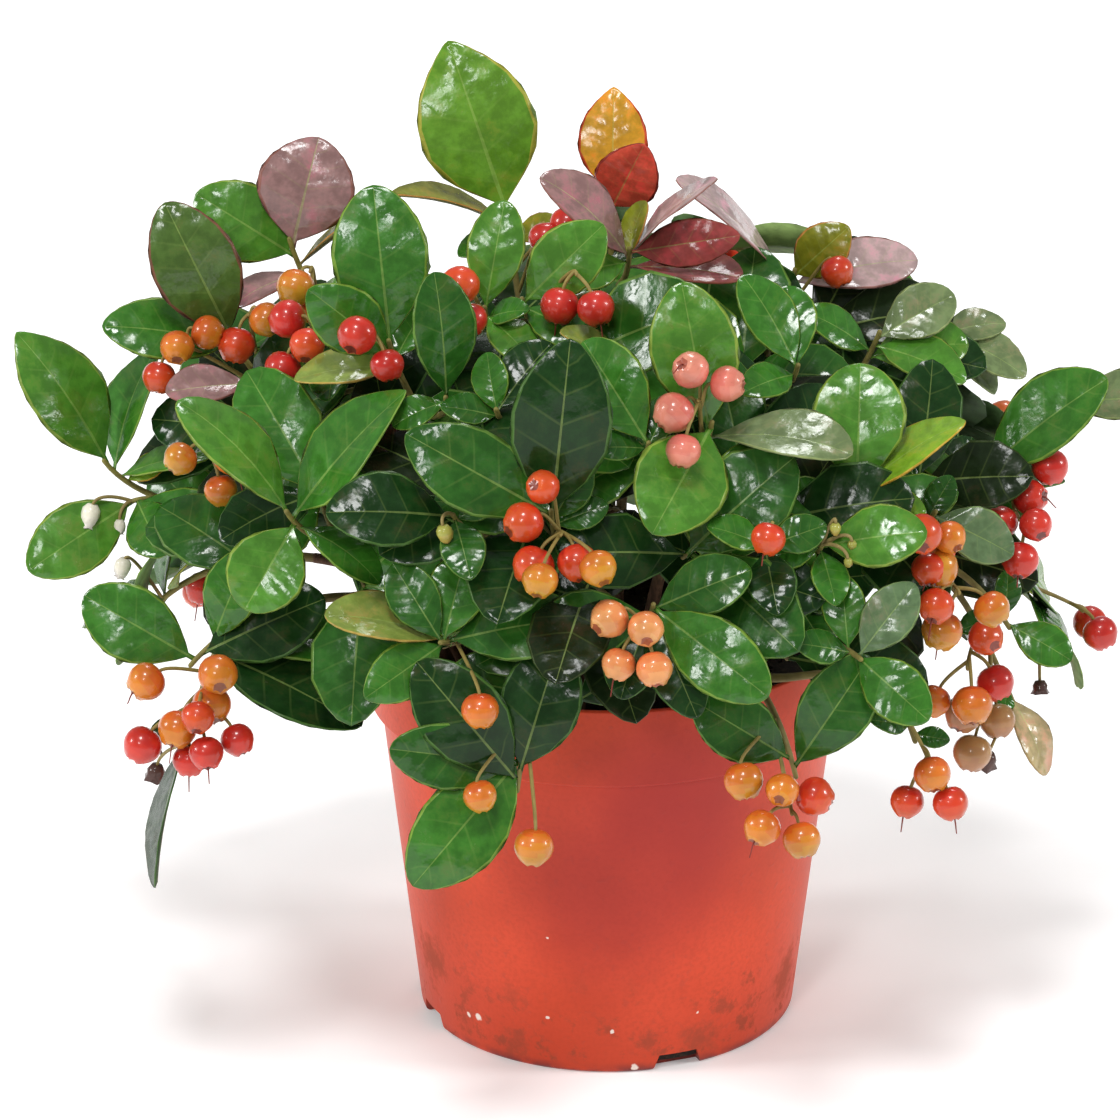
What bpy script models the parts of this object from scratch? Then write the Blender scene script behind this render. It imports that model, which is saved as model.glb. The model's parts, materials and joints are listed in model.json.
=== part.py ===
"""Potted wintergreen: a low berrying shrub in a plastic nursery pot, one solid for each sub-part."""

import math
import random
from collections import namedtuple

import bmesh
import bpy
from mathutils import Matrix, Vector
from mathutils.bvhtree import BVHTree
from mathutils.kdtree import KDTree

MM = 0.001
UP = Vector((0.0, 0.0, 1.0))
GAP = 0.3 * MM

# Pot
RIM_RADIUS = 60.0 * MM
FOOT_RADIUS = 47.0 * MM
POT_HEIGHT = 103.0 * MM
BAND_HEIGHT = 20.5 * MM
BAND_STEP = 2.6 * MM
BAND_TAPER = 0.8 * MM
WALL = 1.3 * MM
FLOOR = 1.8 * MM
RIM_ROUND = 0.45 * MM
POT_STEPS = 48
SOIL_STEPS = 24
NOTCHES = 4
NOTCH_TURN = math.radians(-90.0 + 21.6)
NOTCH_FOOT_WIDTH = 13.5 * MM
NOTCH_TOP_WIDTH = 10.0 * MM
NOTCH_HEIGHT = 4.3 * MM
NOTCH_DEPTH = 8.0 * MM

# Compost
SOIL_TOP = 91.0 * MM
SOIL_EDGE = 1.5 * MM

# Crown
EYE_RISE = math.radians(22.0)
DOME_CENTRE = Vector((-5.0, 0.0, 105.0)) * MM
DOME_RADII = Vector((112.0, 95.0, 95.0)) * MM
DOME_SQUEEZE = Vector((1.0 / DOME_RADII.x, 1.0 / DOME_RADII.y, 1.0 / DOME_RADII.z))

# Boughs and stems
FOOT_RING = 0.34
FOOT_REACH = 40.0 * MM
FOOT_LIFT = 0.5 * MM
BOUGH_SHARE = 0.5
BOUGH_RADII = (1.9 * MM, 1.3 * MM)
STEM_RADII = (1.2 * MM, 0.85 * MM)
LIMB_STEPS = 4
LIMB_CLEAR = 0.8 * MM
LOW_BEND_HEIGHT = 138.0 * MM
BEAD_PITCH = 1.5 * MM
LARGEST_BEAD = 5.2 * MM

# Leaves
LEAF_THICKNESS = 0.8 * MM
LEAF_LONGEST = 47.0 * MM
LEAF_BREADTHS = (0.56, 0.66)
LEAF_STATIONS = (0.0, 0.07, 0.40, 0.77, 1.0)
LEAF_WIDTHS = (0.0, 0.1, 0.97, 0.82, 0.0)
LEAF_DEPTHS = (0.0, 1.15, 1.0, 0.7, 0.0)
LEAF_ROOM = 0.4 * MM
BLADE_START = 0.34
LEAF_SETBACK = 0.022
LEAF_TURNS = (0.35, 0.55, 0.75, 0.9)
LEAST_FACING = 0.42

# Faces that lie this near to one plane are one face after the parts are joined.
FLAT_ANGLE = math.radians(1.0)

# Berries
BERRY_RADIUS = 4.7 * MM
FRUIT_FORWARD = 6.0
STALK_RADIUS = 0.7 * MM
STALK_ROOM = 1.4 * MM
STALK_START = 0.84
ROOT_PITCH = 1.5 * MM
PEDICEL_RADIUS = 0.5 * MM
BERRY_RINGS = ((1.06, 0.0), (0.5, 0.96), (-0.45, 0.98), (-1.0, 0.14), (0.0, 0.0))

Spray = namedtuple("Spray", "across up leaves fruit forward", defaults=((), 0.0))
Leaf = namedtuple("Leaf", "base along face length width bend fold")
Berry = namedtuple("Berry", "centre radius hub cluster")

# Each spray of the near side: where it sits across and up, in millimetres, as seen from a little above.
# A leaf has a heading in degrees from the right and a seen length, and perhaps a roll off facing us,
# a width over its length and the lift of its tip; fruit has an offset and a count.
NEAR_CROWN = {
    "far_left": (
        Spray(-125, 134, ((124, 40, 40, 0.56), (72, 32, 50), (12, 23, 55), (30, 12))),
        Spray(-118, 124, ((214, 31, 0, 0.56), (345, 27, 0, 0.5), (300, 16))),
    ),
    "front_low": (
        Spray(
            -22, 55,
            ((130, 37, 0, 0.54), (73, 32, 0, 0.6), (173, 31, 0, 0.5), (230, 40, 0, 0.52)),
            ((6, -9, 1), (-13, 2, 1)),
        ),
    ),
    "front_right": (
        Spray(44, 58, ((63, 32, 0, 0.54), (149, 27, 0, 0.58)), ((-16, 2, 1), (-1, -10, 4))),
        Spray(73, 66, ((350, 9), (170, 10)), ((3, -10, 3),)),
    ),
    "middle_right": (
        Spray(
            24, 142,
            ((241, 29, 0, 0.7, 18), (101, 36, 0, 0.58), (353, 34, 60, 0.57), (281, 30, 0, 0.62, -14)),
            ((-3, 4, 4),),
        ),
        Spray(37, 113, ((20, 15), (160, 15), (280, 16)), ((4, 3, 1),)),
    ),
    "centre": (
        Spray(-14, 121, ((151, 39, 0, 0.5), (84, 42, 0, 0.54), (60, 17), (20, 14)), ((3, -6, 6),)),
        Spray(-37, 120, ((178, 30), (285, 15), (30, 12))),
    ),
    "left": (
        Spray(
            -77, 121,
            ((134, 38, 48, 0.56), (48, 41, 45, 0.56), (240, 24, 0, 0.8), (325, 24, 50)),
        ),
    ),
    "low_left": (
        Spray(
            -101, 84,
            ((150, 31, 0, 0.6), (24, 33, 20), (334, 42, 40, 0.54), (66, 25), (355, 37, 45, 0.5)),
            ((0, -13, 9),),
        ),
        Spray(-104, 64, ((258, 38, 72, 0.5), (190, 10)), (), -9),
    ),
    "low_middle_left": (
        Spray(
            -40, 90,
            ((122, 22), (76, 22), (215, 23, 0, 0.55), (10, 32, 20, 0.56), (168, 30, 55)),
            ((9, -11, 1),),
        ),
    ),
    "low_middle": (
        Spray(
            10, 99,
            ((322, 34, 0, 0.5), (22, 25), (293, 27, 0, 0.5), (192, 29), (250, 21)),
            ((-3, -6, 4),),
        ),
    ),
    "right": (
        Spray(59, 126, ((88, 34, 0, 0.72), (35, 32, 55, 0.55), (350, 18), (175, 18))),
        Spray(50, 113, ((8, 25), (190, 15), (285, 14))),
    ),
    "far_right": (
        Spray(
            91, 131,
            ((38, 38, 42, 0.56), (322, 15, 45), (348, 25, 60, 0.56), (150, 15)),
            ((11, -14, 4), (13, 4, 1)),
        ),
        Spray(114, 149, ((2, 27, 40), (205, 15))),
    ),
    "upper_left": (
        Spray(
            -94, 166,
            ((116, 37, 0, 0.56), (172, 33, 35, 0.52), (25, 20, 50)),
            ((5, -1, 2), (-14, -8, 3)),
        ),
        Spray(-87, 153, ((186, 21, 45), (10, 18), (330, 17)), ((-10, -24, 3),)),
    ),
    "top_left": (
        Spray(
            -79, 189,
            ((76, 28, 0, 0.86), (148, 29, 0, 0.68), (31, 27, 78), (206, 20, 58)),
            ((6, -12, 2),),
        ),
    ),
    "middle": (
        Spray(5, 158, ((88, 20), (141, 20, 55), (52, 25), (12, 17), (225, 13)), (), -6),
        Spray(9, 137, ((122, 29), (65, 15), (180, 14))),
        Spray(-27, 145, ((52, 21), (100, 15), (170, 14))),
    ),
    "crest_left": (
        Spray(-53, 162, ((96, 39, 0, 0.6), (143, 25, 0, 0.6), (60, 16), (187, 25, 50)), ((-5, -2, 2),)),
        Spray(-39, 148, ((95, 30, 20, 0.52), (205, 14), (330, 15))),
    ),
    "crest": (
        Spray(
            -25, 197,
            ((109, 45.5, 0, 0.62, 6), (166, 30, 74), (205, 14), (20, 14)),
            ((17, -2, 1), (8, -4, 1)),
        ),
        Spray(-30, 170, ((80, 27, 0, 0.52), (315, 17), (10, 12)), ((-5, 1, 2),)),
    ),
    "red_crest": (
        Spray(1, 201, ((89, 28, 0, 0.6, 0), (62, 17, 0, 0.68, 44))),
        Spray(
            5, 185,
            (
                (8, 27, 0, 0.42), (29, 30, 76), (138, 29, 50), (195, 18), (75, 16, 60),
                (354, 28, 66),
            ),
        ),
        Spray(-21, 172, ((44, 27, 0, 0.6), (330, 18)), ((13, 2, 2),)),
    ),
    "upper_right": (
        Spray(
            46, 181,
            ((42, 18, 0, 0.66, 24), (11, 32, 30, 0.46, -6), (136, 39, 78), (175, 14, 0, 0.6), (112, 11)),
            ((7, -3, 1),),
        ),
        Spray(45, 156, ((120, 26), (95, 21), (200, 14))),
    ),
    "shoulder_right": (
        Spray(66, 165, ((30, 22), (338, 24), (150, 20), (8, 25))),
        Spray(82, 166, ((334, 24), (12, 18), (318, 20, 50))),
    ),
    "hanging_right": (
        Spray(78, 121, ((320, 24, 20), (195, 16), (60, 13)), ((-3, -6, 4), (6, -20, 4))),
        Spray(97, 93, ((330, 18), (85, 12), (200, 11)), ((-11, -10, 4),)),
        Spray(99, 74, ((294, 21, 40), (250, 10)), ((-6, -4, 3),)),
    ),
    "low_right": (
        Spray(59, 86, ((52, 22), (318, 23, 0, 0.6), (170, 14), (95, 18)), (), 8),
        Spray(45, 98, ((80, 14), (200, 14), (300, 14), (20, 13)), (), -12),
    ),
}

# The far side carries on by rule: sectors round the pot, three sprays high.
FAR_SECTORS = 9
FAR_START = math.radians(62.0)
FAR_END = math.radians(298.0)
FAR_TIERS = (56.0, 103.0, 150.0, 184.0)
FAR_LEAVES = 6
FAR_LENGTHS = (26.0, 35.0)
FAR_SWAY = 9.0
FAR_FRUIT_CHANCE = 0.5
SPRAY_PITCH = 22.0 * MM
GOLDEN_TURN = 137.5


def seeded(*words):
    """A random stream of its own for each named thing, the same in every run."""
    return random.Random(" ".join(str(word) for word in words))


def sheet(turn):
    """Right, up and outwards for someone who looks at the plant from this side, a little above."""
    side = Matrix.Rotation(turn, 3, "Z")
    right = side @ Vector((1.0, 0.0, 0.0))
    lift = side @ Vector((0.0, math.sin(EYE_RISE), math.cos(EYE_RISE)))
    out = side @ Vector((0.0, -math.cos(EYE_RISE), math.sin(EYE_RISE)))
    return right, lift, out


def squeezed(vector):
    """The vector in the space where the dome is a unit sphere."""
    return Vector(a * b for a, b in zip(vector, DOME_SQUEEZE))


def on_dome(flat, out, forward):
    """Where the line through a point of the sheet meets the near side of the dome."""
    start = squeezed(flat - DOME_CENTRE)
    ray = squeezed(out)
    middle = -start.dot(ray) / ray.dot(ray)
    reach = middle * middle - (start.dot(start) - 1.0) / ray.dot(ray)
    return flat + out * (middle + math.sqrt(max(0.0, reach)) + forward)


def spray_place(spray, turn):
    right, lift, out = sheet(turn)
    flat = right * spray.across * MM + lift * spray.up * MM
    return on_dome(flat, out, spray.forward * MM)


def spray_axis(place, turn):
    """The way a spray faces: off the dome, upwards and a little towards its own side."""
    out = sheet(turn)[2]
    off = squeezed(squeezed(place - DOME_CENTRE)).normalized()
    return (off * 0.55 + out * 0.4 + UP * 0.5).normalized()


def far_spray(name, tier, turn):
    """One spray of the far side, leaves wound round it by the golden turn."""
    chance = seeded(name, "layout")
    across = chance.uniform(-FAR_SWAY, FAR_SWAY)
    up = FAR_TIERS[tier] + chance.uniform(-FAR_SWAY, FAR_SWAY)
    start = chance.uniform(0.0, 360.0)
    leaves = tuple(
        ((start + GOLDEN_TURN * i) % 360.0, chance.uniform(*FAR_LENGTHS) * (1.0 - 0.07 * i))
        for i in range(FAR_LEAVES)
    )
    fruit = ()
    if chance.random() < FAR_FRUIT_CHANCE:
        fruit = ((chance.uniform(-9.0, 9.0), chance.uniform(-15.0, -8.0), chance.randint(2, 4)),)
    return Spray(across, up, leaves, fruit)


def crown_layout():
    """Every mass by name, each with the turn of its side and its sprays."""
    layout = {name: (0.0, sprays) for name, sprays in NEAR_CROWN.items()}
    taken = [spray_place(spray, 0.0) for sprays in NEAR_CROWN.values() for spray in sprays]
    for sector in range(FAR_SECTORS):
        turn = FAR_START + (FAR_END - FAR_START) * sector / (FAR_SECTORS - 1)
        kept = []
        for tier in range(len(FAR_TIERS)):
            spray = far_spray(f"far_{sector}_{tier}", tier, turn)
            place = spray_place(spray, turn)
            if all((place - other).length > SPRAY_PITCH for other in taken):
                taken.append(place)
                kept.append(spray)
        if kept:
            layout[f"far_side_{sector + 1}"] = (turn, tuple(kept))
    return layout


def bezier(points, share):
    """A point on the cubic curve through these four."""
    a, b, c, d = points
    rest = 1.0 - share
    return (
        a * rest ** 3
        + b * 3.0 * rest * rest * share
        + c * 3.0 * rest * share * share
        + d * share ** 3
    )


def limb_points(curve, start, end):
    return [bezier(curve, start + (end - start) * i / LIMB_STEPS) for i in range(LIMB_STEPS + 1)]


def beads_of(points, radii):
    """The limb as a string of balls, for keeping other things clear of it."""
    beads = []
    for i, (a, b) in enumerate(zip(points, points[1:])):
        count = max(1, math.ceil((b - a).length / BEAD_PITCH))
        for j in range(count + 1):
            share = (i + j / count) / (len(points) - 1)
            beads.append((a.lerp(b, j / count), radii[0] + (radii[1] - radii[0]) * share))
    return beads


class Room:
    """What has been placed so far, with the gap that each newcomer has to keep."""

    def __init__(self):
        self.beads = []
        self.blades = []
        self.tree = None

    def add_beads(self, beads, owner, fruit=False):
        self.beads += [(place, radius, owner, fruit) for place, radius in beads]
        self.tree = KDTree(len(self.beads))
        for i, bead in enumerate(self.beads):
            self.tree.insert(bead[0], i)
        self.tree.balance()

    def limb_clear(self, beads, owner):
        for place, radius in beads:
            if rim_hit(place, radius + LIMB_CLEAR):
                return False
            reach = radius + LARGEST_BEAD + LIMB_CLEAR
            for _, index, distance in self.tree.find_range(place, reach) if self.tree else ():
                _, other_radius, other_owner, _ = self.beads[index]
                if other_owner != owner and distance < radius + other_radius + LIMB_CLEAR:
                    return False
        return True

    def leaf_clear(self, leaf, owner, spray):
        whole = leaf_tree(leaf, LEAF_ROOM)
        blade = leaf_tree(leaf, 0.0, BLADE_START)
        middle = leaf.base + leaf.along * leaf.length * 0.5
        reach = leaf.length * 0.5 + 8.0 * MM
        if pot_hit(leaf):
            return False
        for _, index, _ in self.tree.find_range(middle, reach):
            place, radius, other, fruit = self.beads[index]
            if other == owner and not fruit:
                continue
            near = (blade if other == owner else whole).find_nearest(place, radius + LEAF_ROOM)
            if near[0] is not None:
                return False
        for other_middle, other_reach, other_whole, other_blade, other, other_spray in self.blades:
            if (middle - other_middle).length > reach + other_reach:
                continue
            if other != owner:
                if whole.overlap(other_whole):
                    return False
            elif blade.overlap(other_blade):
                return False
        return True

    def add_leaf(self, leaf, owner, spray):
        middle = leaf.base + leaf.along * leaf.length * 0.5
        reach = leaf.length * 0.5 + 1.0 * MM
        trees = leaf_tree(leaf, 0.0), leaf_tree(leaf, 0.0, BLADE_START)
        self.blades.append((middle, reach, *trees, owner, spray))


def body_radius(height):
    """The pot's outer radius at a height, without the band."""
    top = RIM_RADIUS - BAND_STEP
    share = height / (POT_HEIGHT - BAND_HEIGHT)
    return FOOT_RADIUS + (top - BAND_TAPER - FOOT_RADIUS) * min(1.0, max(0.0, share))


def rim_hit(place, radius):
    """True where a ball would touch the pot's wall or pass through it."""
    out = math.hypot(place.x, place.y)
    inside = RIM_RADIUS - BAND_STEP - 2.0 * WALL
    return place.z < POT_HEIGHT + radius and inside - radius < out < RIM_RADIUS + radius


def pot_hit(leaf):
    """True where a leaf would touch the pot or the compost."""
    for i in range(2, 9):
        for side in (-1.0, 0.0, 1.0):
            spot = leaf_point(leaf, i / 8.0, side * 0.9)
            out = math.hypot(spot.x, spot.y)
            if spot.z < POT_HEIGHT + 1.5 * MM and out < RIM_RADIUS + 1.2 * MM:
                return True
    return False


def leaf_arc(leaf, share):
    """The midrib's place and the leaf's upward direction there, along an arc whose chord is the leaf."""
    half = leaf.bend / 2.0
    turn = half - leaf.bend * share
    along = (math.sin(half) - math.sin(turn)) / (2.0 * math.sin(half))
    rise = (math.cos(turn) - math.cos(half)) / (2.0 * math.sin(half))
    place = leaf.base + (leaf.along * along + leaf.face * rise) * leaf.length
    return place, leaf.face * math.cos(turn) - leaf.along * math.sin(turn)


def leaf_half_width(leaf, share):
    """Half the leaf's width at a share of its length, read off the stations."""
    for i in range(4):
        if share <= LEAF_STATIONS[i + 1]:
            break
    part = (share - LEAF_STATIONS[i]) / (LEAF_STATIONS[i + 1] - LEAF_STATIONS[i])
    return leaf.width * 0.5 * (LEAF_WIDTHS[i] + (LEAF_WIDTHS[i + 1] - LEAF_WIDTHS[i]) * part)


def leaf_point(leaf, share, side):
    """A point of the blade, side -1 at one edge and 1 at the other."""
    place, face = leaf_arc(leaf, share)
    across = leaf.face.cross(leaf.along)
    half = leaf_half_width(leaf, share)
    return place + across * half * side + face * half * abs(side) * leaf.fold


def leaf_shape(leaf, room=0.0, start=0.0):
    """A ball of three sides and three rings, pressed into the leaf's two edges and its keel."""
    shape = bmesh.new()
    bmesh.ops.create_uvsphere(shape, u_segments=3, v_segments=4, radius=1.0)
    bmesh.ops.triangulate(shape, faces=shape.faces[:])
    across = leaf.face.cross(leaf.along)
    for vert in shape.verts:
        ring = round(2.0 + 2.0 * vert.co.z)
        share = max(start, LEAF_STATIONS[ring])
        place, face = leaf_arc(leaf, share)
        spread = math.hypot(vert.co.x, vert.co.y)
        half = LEAF_WIDTHS[ring] * leaf.width * 0.5 + room
        depth = LEAF_DEPTHS[ring] * LEAF_THICKNESS
        keel = vert.co.x > 0.1
        side = 0.0 if keel or spread < 0.1 else math.copysign(1.0, vert.co.y)
        height = -depth - room if keel else half * abs(side) * leaf.fold + room
        vert.co = place + across * half * side + face * height
        if room and ring == 4:
            vert.co += leaf.along * room
    return shape


def leaf_tree(leaf, room, start=0.0):
    shape = leaf_shape(leaf, room, start)
    tree = BVHTree.FromBMesh(shape)
    shape.free()
    return tree


def aimed_leaf(base, turn, axis, heading, seen, roll, cup, name, facing=False, breadth=None):
    """A leaf whose heading and length are as seen in the sheet of its side.

    It lies across the spray's axis, and turns its face to the sheet as far as its own length needs,
    or altogether where it is said to face us.
    """
    right, lift, out = sheet(turn)
    angle = math.radians(heading)
    flat = right * math.cos(angle) + lift * math.sin(angle)
    for share in (1.0,) if facing else LEAF_TURNS:
        face = (axis.lerp(out, share) - flat * math.tan(math.radians(cup))).normalized()
        along = flat - out * (flat.dot(face) / max(LEAST_FACING, out.dot(face)))
        length = seen * MM * along.length
        if length < LEAF_LONGEST:
            break
    length = min(LEAF_LONGEST, length)
    along.normalize()
    face = (face - along * face.dot(along)).normalized()
    ways = [Matrix.Rotation(math.radians(way * roll), 3, along) @ face for way in (1.0, -1.0)]
    face = max(ways, key=lambda way: way.z) if facing else ways[0]
    chance = seeded(name, "leaf")
    width = length * (breadth or chance.uniform(*LEAF_BREADTHS))
    bend = math.radians(chance.uniform(16.0, 44.0))
    fold = chance.uniform(0.05, 0.24)
    return Leaf(base, along, face, length, width, bend, fold)


# Where a leaf can't keep its place, it turns, lifts or shortens by these steps in turn.
LEAF_SHIFTS = (
    (0, 0, 1.0), (0, 8, 1.0), (0, -8, 1.0), (7, 0, 1.0), (-7, 0, 1.0), (5, 14, 0.96), (-5, 14, 0.96),
    (12, 6, 0.94), (-12, 6, 0.94), (0, -16, 0.92), (14, -10, 0.9), (-14, -10, 0.9), (0, 22, 0.88),
    (18, 14, 0.86), (-18, 14, 0.86), (22, 0, 0.82), (-22, 0, 0.82), (0, 30, 0.8), (26, 22, 0.76),
    (-26, 22, 0.76), (10, -22, 0.75), (-10, -22, 0.75),
)


def grow_leaves(room, owner, index, spray, turn, curve, axis):
    """The leaves of one spray, the last of them lowest on the stem."""
    leaves = []
    for i, entry in enumerate(spray.leaves):
        heading, seen, roll, breadth, tip_lift = (*entry, None, None, None)[:5]
        name = f"{owner} {index} {i}"
        chance = seeded(name, "aim")
        cup = chance.uniform(2.0, 20.0) if tip_lift is None else tip_lift
        tilt = chance.uniform(-14.0, 14.0) if roll is None else roll
        base = bezier(curve, 1.0 - LEAF_SETBACK * (i + 1))
        for sway, raised, scale in LEAF_SHIFTS:
            leaf = aimed_leaf(
                base, turn, axis, heading + sway, seen * scale, tilt, cup + raised, name,
                roll is not None, breadth,
            )
            if room.leaf_clear(leaf, owner, index):
                room.add_leaf(leaf, owner, index)
                leaves.append(leaf)
                break
    return leaves


def nearest_on(start, end, spot):
    """The nearest point of a straight stalk."""
    run = end - start
    return start + run * max(0.0, min(1.0, (spot - start).dot(run) / run.dot(run)))


def heaped(balls, stalk):
    """The balls of one cluster, nudged until they stand clear of one another and of the stalk."""
    for _ in range(70):
        for i, (a, a_radius) in enumerate(balls):
            for b, b_radius in balls[:i]:
                apart = a - b
                short = a_radius + b_radius + 1.5 * GAP - apart.length
                if short > 0.0:
                    push = apart.normalized() * (short * 0.52)
                    a += push
                    b -= push
            off = a - nearest_on(*stalk, a)
            if off.length < a_radius + STALK_ROOM:
                a += off.normalized() * (a_radius + STALK_ROOM - off.length)
    return balls


def grow_fruit(owner, index, spray, turn, place, curve):
    """Berries round the end of each cluster's stalk, their own stalks spaced out along it."""
    right, lift, out = sheet(turn)
    stalks = []
    berries = []
    for j, (aside, above, count) in enumerate(spray.fruit):
        chance = seeded(owner, index, j, "fruit")
        middle = place + (right * aside + lift * above + out * FRUIT_FORWARD) * MM
        hub = middle + UP * BERRY_RADIUS * (1.5 if count < 4 else 0.3)
        spread = BERRY_RADIUS * count ** 0.4
        balls = []
        for _ in range(count):
            offset = Vector(chance.uniform(-1.0, 1.0) for _ in range(3)) * spread
            spot = middle + right * offset.x + lift * offset.y + out * abs(offset.z)
            balls.append((spot, BERRY_RADIUS * chance.uniform(0.86, 1.08)))
        heaped(balls, (bezier(curve, STALK_START), hub))
        balls.sort(key=lambda ball: ball[0].z)
        start = bezier(curve, STALK_START - 0.06 * j)
        stalks.append((start, hub))
        back = start - hub
        for k, (spot, radius) in enumerate(balls):
            out_at = math.hypot(spot.x, spot.y)
            if spot.z < POT_HEIGHT + radius + MM and out_at < RIM_RADIUS + radius + MM:
                spot += out * (RIM_RADIUS + radius + MM - out_at)
            root = hub + back * min(0.9, (k + 0.5) * ROOT_PITCH / back.length)
            berries.append(Berry(spot, radius, root, j))
    return stalks, berries


Mass = namedtuple("Mass", "bough stems sprays")


def jitter(chance, amount):
    return Vector(chance.uniform(-amount, amount) for _ in range(3))


def bent_limb(start, rise, place, axis, wobble):
    """A limb that leaves its foot upwards and comes to the spray along the spray's axis."""
    out = Vector((place.x, place.y, 0.0))
    out = out.normalized() if out.length > 1.0 * MM else Vector((1.0, 0.0, 0.0))
    span = (place - start).length
    low = max(0.0, LOW_BEND_HEIGHT - place.z)
    back = out * (0.26 * span) * min(1.0, low / (20.0 * MM))
    back += axis * 0.34 * span * max(0.0, 1.0 - low / (20.0 * MM))
    return (
        start.copy(),
        start + rise * max(16.0 * MM, min(46.0 * MM, 0.42 * span)) + wobble,
        place - back + UP * 0.72 * low + wobble * 0.6,
        place.copy(),
    )


def grow_limbs(room, name, turn, sprays):
    """The mass's bough and stems, bent a little further each time they would touch another limb."""
    places = [spray_place(spray, turn) for spray in sprays]
    axes = [spray_axis(place, turn) for place in places]
    chance = seeded(name, "limbs")
    for attempt in range(160):
        loose = min(1.0, attempt / 60.0)
        middle = places[0]
        foot = Vector((middle.x, middle.y, 0.0)) * FOOT_RING
        foot = Matrix.Rotation(chance.uniform(-0.9, 0.9) * loose, 3, "Z") @ foot
        foot += jitter(chance, 7.0 * MM * loose)
        foot = foot.normalized() * min(foot.length, FOOT_REACH)
        foot.z = SOIL_TOP + GAP + FOOT_LIFT
        lean = (UP + Vector((foot.x, foot.y, 0.0)).normalized() * 0.12).normalized()
        curve = bent_limb(foot, lean, middle, axes[0], jitter(chance, 9.0 * MM * loose))
        step = (GAP + 0.1 * MM) / (bezier(curve, BOUGH_SHARE + 0.01) - bezier(curve, BOUGH_SHARE)).length
        start = BOUGH_SHARE + 0.01 * step
        bough = limb_points(curve, 0.0, BOUGH_SHARE)
        stems = [(curve, limb_points(curve, start, 1.0))]
        for place, axis in zip(places[1:], axes[1:]):
            fork = bezier(curve, start + 0.12)
            ahead = (bezier(curve, start + 0.14) - fork).normalized()
            twig = bent_limb(fork, ahead, place, axis, jitter(chance, 5.0 * MM * loose))
            stems.append((twig, limb_points(twig, 0.0, 1.0)))
        beads = beads_of(bough, BOUGH_RADII)
        for _, points in stems:
            beads += beads_of(points, STEM_RADII)
        if room.limb_clear(beads, name):
            break
    else:
        raise RuntimeError(f"{name} finds no way through")
    room.add_beads(beads, name)
    return Mass(bough, stems, list(zip(sprays, places, axes)))


def hang_fruit(room, owner, stalks, berries):
    """The clusters and berries that stand clear of the other masses."""
    good = {}
    for j, stalk in enumerate(stalks):
        beads = beads_of(stalk, (STALK_RADIUS, STALK_RADIUS))
        if room.limb_clear(beads, owner):
            room.add_beads(beads, owner)
            good[j] = stalk
    kept = []
    for berry in berries:
        ball = [(berry.centre, berry.radius)]
        hang = beads_of((berry.hub, berry.centre), (PEDICEL_RADIUS, PEDICEL_RADIUS))
        if berry.cluster in good and room.limb_clear(ball + hang, owner):
            room.add_beads(ball, owner, True)
            room.add_beads(hang, owner)
            kept.append(berry)
    used = {berry.cluster for berry in kept}
    return [stalk for j, stalk in good.items() if j in used], kept


def grow_crown():
    """Every mass: limbs first, then fruit, then leaves wherever there is room."""
    room = Room()
    masses = {}
    for name, (turn, sprays) in crown_layout().items():
        masses[name] = (turn, grow_limbs(room, name, turn, sprays))
    fruits = {}
    for name, (turn, mass) in masses.items():
        for index, (spray, place, _) in enumerate(mass.sprays):
            curve = mass.stems[index][0]
            stalks, berries = grow_fruit(name, index, spray, turn, place, curve)
            fruits[name, index] = hang_fruit(room, name, stalks, berries)
    grown = {}
    for name, (turn, mass) in masses.items():
        leaves = []
        for index, (spray, _, axis) in enumerate(mass.sprays):
            leaves += grow_leaves(room, name, index, spray, turn, mass.stems[index][0], axis)
        grown[name] = (mass, leaves, [fruits[name, i] for i in range(len(mass.sprays))])
    return grown


def clear_scene():
    for ob in list(bpy.data.objects):
        bpy.data.objects.remove(ob, do_unlink=True)


def collection(name):
    group = bpy.data.collections.new(name)
    bpy.context.scene.collection.children.link(group)
    return group


def material(name, colour, roughness):
    mat = bpy.data.materials.new(name)
    mat.use_nodes = True
    shader = mat.node_tree.nodes["Principled BSDF"]
    shader.inputs["Base Color"].default_value = (*colour, 1.0)
    shader.inputs["Roughness"].default_value = roughness
    shader.inputs["Metallic"].default_value = 0.0
    return mat


def add_object(name, mesh, group, mat=None):
    ob = bpy.data.objects.new(name, mesh)
    group.objects.link(ob)
    if mat is not None:
        mesh.materials.clear()
        mesh.materials.append(mat)
    return ob


def mesh_from(shape, name):
    mesh = bpy.data.meshes.new(name)
    shape.to_mesh(mesh)
    shape.free()
    return mesh


def add_turned(name, profile, steps, group, mat):
    """A profile of radius and height turned once round the upright axis."""
    shape = bmesh.new()
    verts = [shape.verts.new((radius, 0.0, height)) for radius, height in profile]
    for a, b in zip(verts, verts[1:]):
        shape.edges.new((a, b))
    ob = add_object(name, mesh_from(shape, name), group, mat)
    turn = ob.modifiers.new("Turn", "SCREW")
    turn.axis = "Z"
    turn.steps = steps
    turn.render_steps = steps
    turn.use_merge_vertices = True
    turn.merge_threshold = 0.00001
    turn.use_smooth_shade = True
    return ob


def applied(ob):
    """The object with its modifiers made part of its mesh."""
    seen = ob.evaluated_get(bpy.context.evaluated_depsgraph_get())
    mesh = bpy.data.meshes.new_from_object(seen)
    ob.modifiers.clear()
    ob.data = mesh
    return ob


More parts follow.
